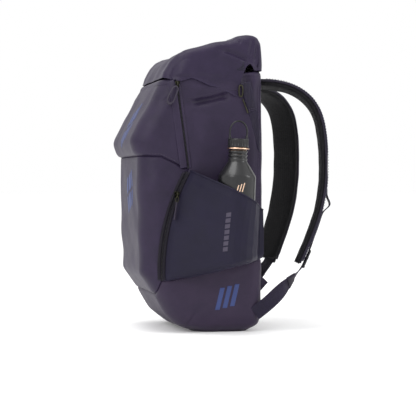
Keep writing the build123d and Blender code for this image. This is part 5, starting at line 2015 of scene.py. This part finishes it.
@dataclass
class Bottle:
    """Powder-coated steel bottle with ribbed neck, coloured ring, screw cap and carry loop."""

    x: float = 163.5
    y: float = 23.0
    floor: float = 125.3
    lean: float = 2.0
    radius: float = 32.0
    body: float = 146.0
    shoulder: float = 170.0
    neck: float = 14.0
    top: float = 196.0
    cap_radius: float = 17.5

    def place(self, points: Grid) -> Grid:
        """Stand points about the Z axis on the bottle's leaning axis."""
        lean = math.radians(self.lean)
        y = points[..., 1] * math.cos(lean) + points[..., 2] * math.sin(lean)
        z = points[..., 2] * math.cos(lean) - points[..., 1] * math.sin(lean)
        return np.stack([points[..., 0] + self.x, y + self.y, z + self.floor], axis=-1)

    def build(self) -> None:
        """Make the bottle's pieces."""
        r, n = self.radius, self.neck
        wall = [(0.01, 1.2), (12, 1.0), (r - 7, 0.4), (r - 3, 0.2), (r - 1.2, 0.9), (r - 0.3, 2.2), (r, 4.2)]
        wall += [(r, z) for z in np.linspace(12, self.body - 4, 14)]
        wall += [(r - 0.1, self.body - 2.4), (r - 0.6, self.body - 0.8), (r - 1.6, self.body + 0.8)]
        wall += [(r - 1.6 - (r - n - 4.0) * t, self.body + 0.8 + (self.shoulder - self.body - 2) * t ** 0.96)
                 for t in np.linspace(0.08, 1, 12)]
        neck = []
        for z in np.linspace(self.shoulder + 1, self.top - 4.6, 60):
            rib = 0.5 + 0.5 * math.sin((z - self.shoulder) / 6.4 * 2 * math.pi - 1.2)
            neck.append((n + 0.6 + 1.9 * rib ** 0.6, z))
        wall += neck + [(n - 0.2, self.top - 3.8), (n - 0.2, self.top - 0.6), (n - 1.0, self.top),
                        (0.01, self.top)]
        body = turned_object("bottle_wall", np.array(wall), self.place, 96)
        finish_piece(body, "steel", "bottle", ("bottle_body",))
        self.ring()
        self.cap()
        self.loop()
        self.mark()

    def ring(self) -> None:
        """The coloured ring under the cap."""
        z, r = self.top - 5.1, self.cap_radius + 1.5
        profile = [(self.neck - 0.1, z - 1.1), (r - 0.5, z - 1.1), (r, z - 0.5), (r, z + 0.5),
                   (r - 0.5, z + 1.1),
                   (self.neck - 0.1, z + 1.1)]
        finish_piece(turned_object("copper_band", np.array(profile), self.place), "copper", "bottle",
                     ("cap_ring",))

    def cap(self) -> None:
        """The cap: fine grip flutes, a rounded top edge and two ears."""
        low, high = self.top - 3.5, self.top + 11.5
        turn = np.linspace(0, 2 * np.pi, 240, endpoint=False)
        levels = [(0.3, low + 0.02), (0.86, low + 0.02), (0.985, low + 0.5), (1.0, low + 1.4),
                  (1.0, low + 2.6),
                  (1.0, low + 3.0), (1.0, high - 3.2), (1.0, high - 2.6), (1.0, high - 1.4), (0.97,
                                                                                              high - 0.4),
                  (0.90, high), (0.5, high + 0.05), (0.01, high + 0.05)]
        grid = np.empty((240, len(levels), 3))
        for j, (share, z) in enumerate(levels):
            grip = 0.55 * (0.5 + 0.5 * np.cos(turn * 24)) ** 1.5 if low + 2.8 < z < high - 2.9 else 0.0
            radius = self.cap_radius * share - grip
            grid[:, j] = np.column_stack([radius * np.cos(turn), radius * np.sin(turn), np.full(240, z)])
        faces = grid_faces(240, len(levels), True)
        count = len(levels)
        faces += [tuple(i * count for i in range(240))[::-1],
                  tuple(i * count + count - 1 for i in range(240))]
        parts = [(self.place(grid.reshape(-1, 3)), faces)]
        for sign in (-1, 1):
            line = np.array([(0, sign * 14.5, high - 1.0), (0, sign * 14.5, high + 0.6),
                             (0, sign * 14.5, high + 1.3)])
            parts.append(tube_mesh(self.place(line), np.array([3.2, 3.0, 2.4]), 14))
        finish_piece(merged("screw_cap", parts), "cap", "bottle_cap", ("bottle_cap",))

    def loop(self) -> None:
        """The carry loop: an oval wire with thickened feet."""
        low = self.top + 11.5 + 2.0
        half, tall = self.cap_radius - 3.0, 31.0
        line = spline(np.array([(0, -half, low), (0, -half - 0.2, low + tall * 0.42),
                                (0, -half * 0.72, low + tall * 0.74),
                                (0, 0, low + tall - 3.0), (0, half * 0.72, low + tall * 0.74),
                                (0, half + 0.2, low + tall * 0.42), (0, half, low)]), 70)
        share = np.abs(np.linspace(-1, 1, 70))
        size = 1.75 + 0.9 * smooth_step((share - 0.86) / 0.12)
        obj = tube_object("carry_arch", self.place(line), size, 14, flat=0.8)
        finish_piece(obj, "cap", "bottle_loop", ("bottle_loop",))

    def mark(self) -> None:
        """Three slanted copper ticks on the wall, a generic mark."""
        parts = []
        for k in range(3):
            rows = []
            for t in np.linspace(0, 1, 14):
                angle = math.radians(-14.0 + 9.0 * k + 7.0 * t)
                for d in (-1.0, 1.0):
                    turn = angle + math.radians(d * 1.6)
                    r = self.radius + 0.25
                    rows.append((r * math.cos(turn), r * math.sin(turn), 114.0 + 4.0 * k * 0.5 + 15.0 * t))
            grid = np.array(rows).reshape(14, 2, 3)
            inner = grid * np.array([0.99, 0.99, 1.0])
            points = np.concatenate([grid.reshape(-1, 3), inner.reshape(-1, 3)])
            ring = [i * 2 for i in range(14)] + [i * 2 + 1 for i in range(13, -1, -1)] + [0]
            faces = grid_faces(14, 2) + grid_faces(14, 2, start=28, flip=True)
            faces += [(b, a, a + 28, b + 28) for a, b in zip(ring, ring[1:])]
            parts.append((self.place(points), faces))
        obj = merged("copper_ticks", parts, False)
        fix_normals(obj)
        finish_piece(obj, "copper", "bottle")


@dataclass
class InnerParts:
    """CAD pieces whose shape is right, given the finish of what they are."""

    finishes: dict[str, str] = field(default_factory=lambda: {
        "mouth_strip_front": "sheet", "mouth_strip_rear": "sheet", "back_stiffener": "sheet",
        "racket_divider": "lining", "base_foam": "foam", "cap_gasket": "silicone"})

    def build(self) -> None:
        """Dress them."""
        for node, finish in self.finishes.items():
            FINISH.dress(frame["nodes"][node], finish)
            LOG.info("dressed %s", node)


@dataclass
class Seamwork:
    """Topstitch rows beside the bag's main seams."""

    inset: float = 4.2

    def build(self) -> None:
        """Make the rows."""
        rows = []
        for side in (1, -1):
            for line in (self.base_row(), self.lip_row(), self.panel_row()):
                rows += stitch_row(line * np.array([side, 1, 1]), 3.2, 1.6)
        finish_piece(merged("seam_stitches", rows), "thread", "bag")

    def on_side(self, y: Grid, z: Grid, lift: float) -> Grid:
        """Points on the right side at places in side view, raised a little."""
        return np.column_stack([SHAPE.side_x(y, z) + lift, y, z])

    def base_row(self) -> Grid:
        """Row under the base seam."""
        y = np.linspace(-88, 76, 120)
        return self.on_side(y, SEAMS.base(y) - self.inset, 0.2)

    def lip_row(self) -> Grid:
        """Row above the seam under the upper pocket."""
        y = np.linspace(-116, -70, 50)
        return self.on_side(y, SEAMS.lip(y) + self.inset, 0.3)

    def panel_row(self) -> Grid:
        """Row along the seam where side and back panel meet."""
        z = np.linspace(215, 425, 120)
        return self.on_side(np.full(120, 76.0), z, 0.9)


@dataclass
class Studio:
    """Pale floor, soft lights and the camera."""

    azimuth: float = 78.0
    elevation: float = 1.0
    distance: float = 2.6
    lens: float = 125.0
    aim: tuple[float, float, float] = (0.0, 0.0125, 0.213)

    def build(self) -> None:
        """Make the stage."""
        self.floor()
        self.lights()
        self.camera()

    @staticmethod
    def floor() -> None:
        """A large pale floor of matte laminate."""
        obj = mesh_object("floor", np.array([(-30000, -30000, 0), (30000, -30000, 0), (30000, 30000, 0),
                                             (-30000, 30000, 0)], float), [(0, 1, 2, 3)], False)
        mat = bpy.data.materials.new("matte laminate, pale")
        mat.use_nodes = True
        tree = mat.node_tree
        tree.nodes.clear()
        noise = add_node(tree, "ShaderNodeTexNoise", Scale=40.0)
        tone = add_node(tree, "ShaderNodeMapRange", Value=noise.outputs["Fac"], To_Min=0.90, To_Max=0.93)
        skin = add_node(tree, "ShaderNodeBsdfPrincipled", Base_Color=tone.outputs[0], Roughness=0.9,
                        Emission_Color=(1, 1, 1, 1), Emission_Strength=0.12)
        add_node(tree, "ShaderNodeOutputMaterial", Surface=skin.outputs[0])
        obj.data.materials.append(mat)

    @staticmethod
    def lights() -> None:
        """White surroundings and three large soft boxes."""
        world = bpy.data.worlds.new("studio")
        world.use_nodes = True
        bpy.context.scene.world = world
        back = world.node_tree.nodes["Background"]
        back.inputs["Color"].default_value = (1, 1, 1, 1)
        back.inputs["Strength"].default_value = 1.0
        boxes = (("key", (2.2, -2.0, 1.9), (1.3, 1.3), 28.0), ("top", (0.3, -0.6, 2.6), (1.6, 1.6), 32.0),
                 ("edge", (1.2, 2.2, 1.4), (0.5, 1.6), 16.0))
        for name, spot, size, power in boxes:
            light = bpy.data.lights.new(name, "AREA")
            light.shape, light.size, light.size_y, light.energy = "RECTANGLE", size[0], size[1], power
            obj = bpy.data.objects.new(name, light)
            obj.location = spot
            obj.rotation_euler = (Vector((0, 0, 0.25)) - Vector(spot)).to_track_quat("-Z", "Y").to_euler()
            bpy.context.scene.collection.objects.link(obj)

    def camera(self) -> None:
        """The camera, level with the middle of the bag, at its right side."""
        a, e = math.radians(self.azimuth), math.radians(self.elevation)
        way = Vector((math.sin(a) * math.cos(e), -math.cos(a) * math.cos(e), math.sin(e)))
        lens = bpy.data.cameras.new("camera")
        lens.lens, lens.sensor_width = self.lens, 36.0
        obj = bpy.data.objects.new("camera", lens)
        obj.location = Vector(self.aim) + way * self.distance
        obj.rotation_euler = (-way).to_track_quat("-Z", "Y").to_euler()
        bpy.context.scene.collection.objects.link(obj)
        bpy.context.scene.camera = obj
        bpy.context.scene.view_settings.view_transform = "Standard"


def main() -> None:
    """Build the bag, the bottle and the stage in order."""
    logging.basicConfig(level=logging.INFO, format="%(name)s: %(message)s")
    panels = Body().build()
    Hood().build()
    SidePocket(1, 36.0, 163.5).build("side_pocket_right")
    SidePocket(-1, 13.5, 136.0).build("side_pocket_left")
    Zips().build()
    for hand in ("right", "left"):
        Closure(hand).build()
    BackPanel().build()
    for hand, turn, spread in (("right", 12.0, 4.0), ("left", 28.0, 2.0)):
        strap = Strap(hand, turn, spread)
        strap.build()
        strap.lower_web()
    Bottle().build()
    InnerParts().build()
    Seamwork().build()
    Prints(panels).build()
    Studio().build()


if __name__ == "__main__":
    main()
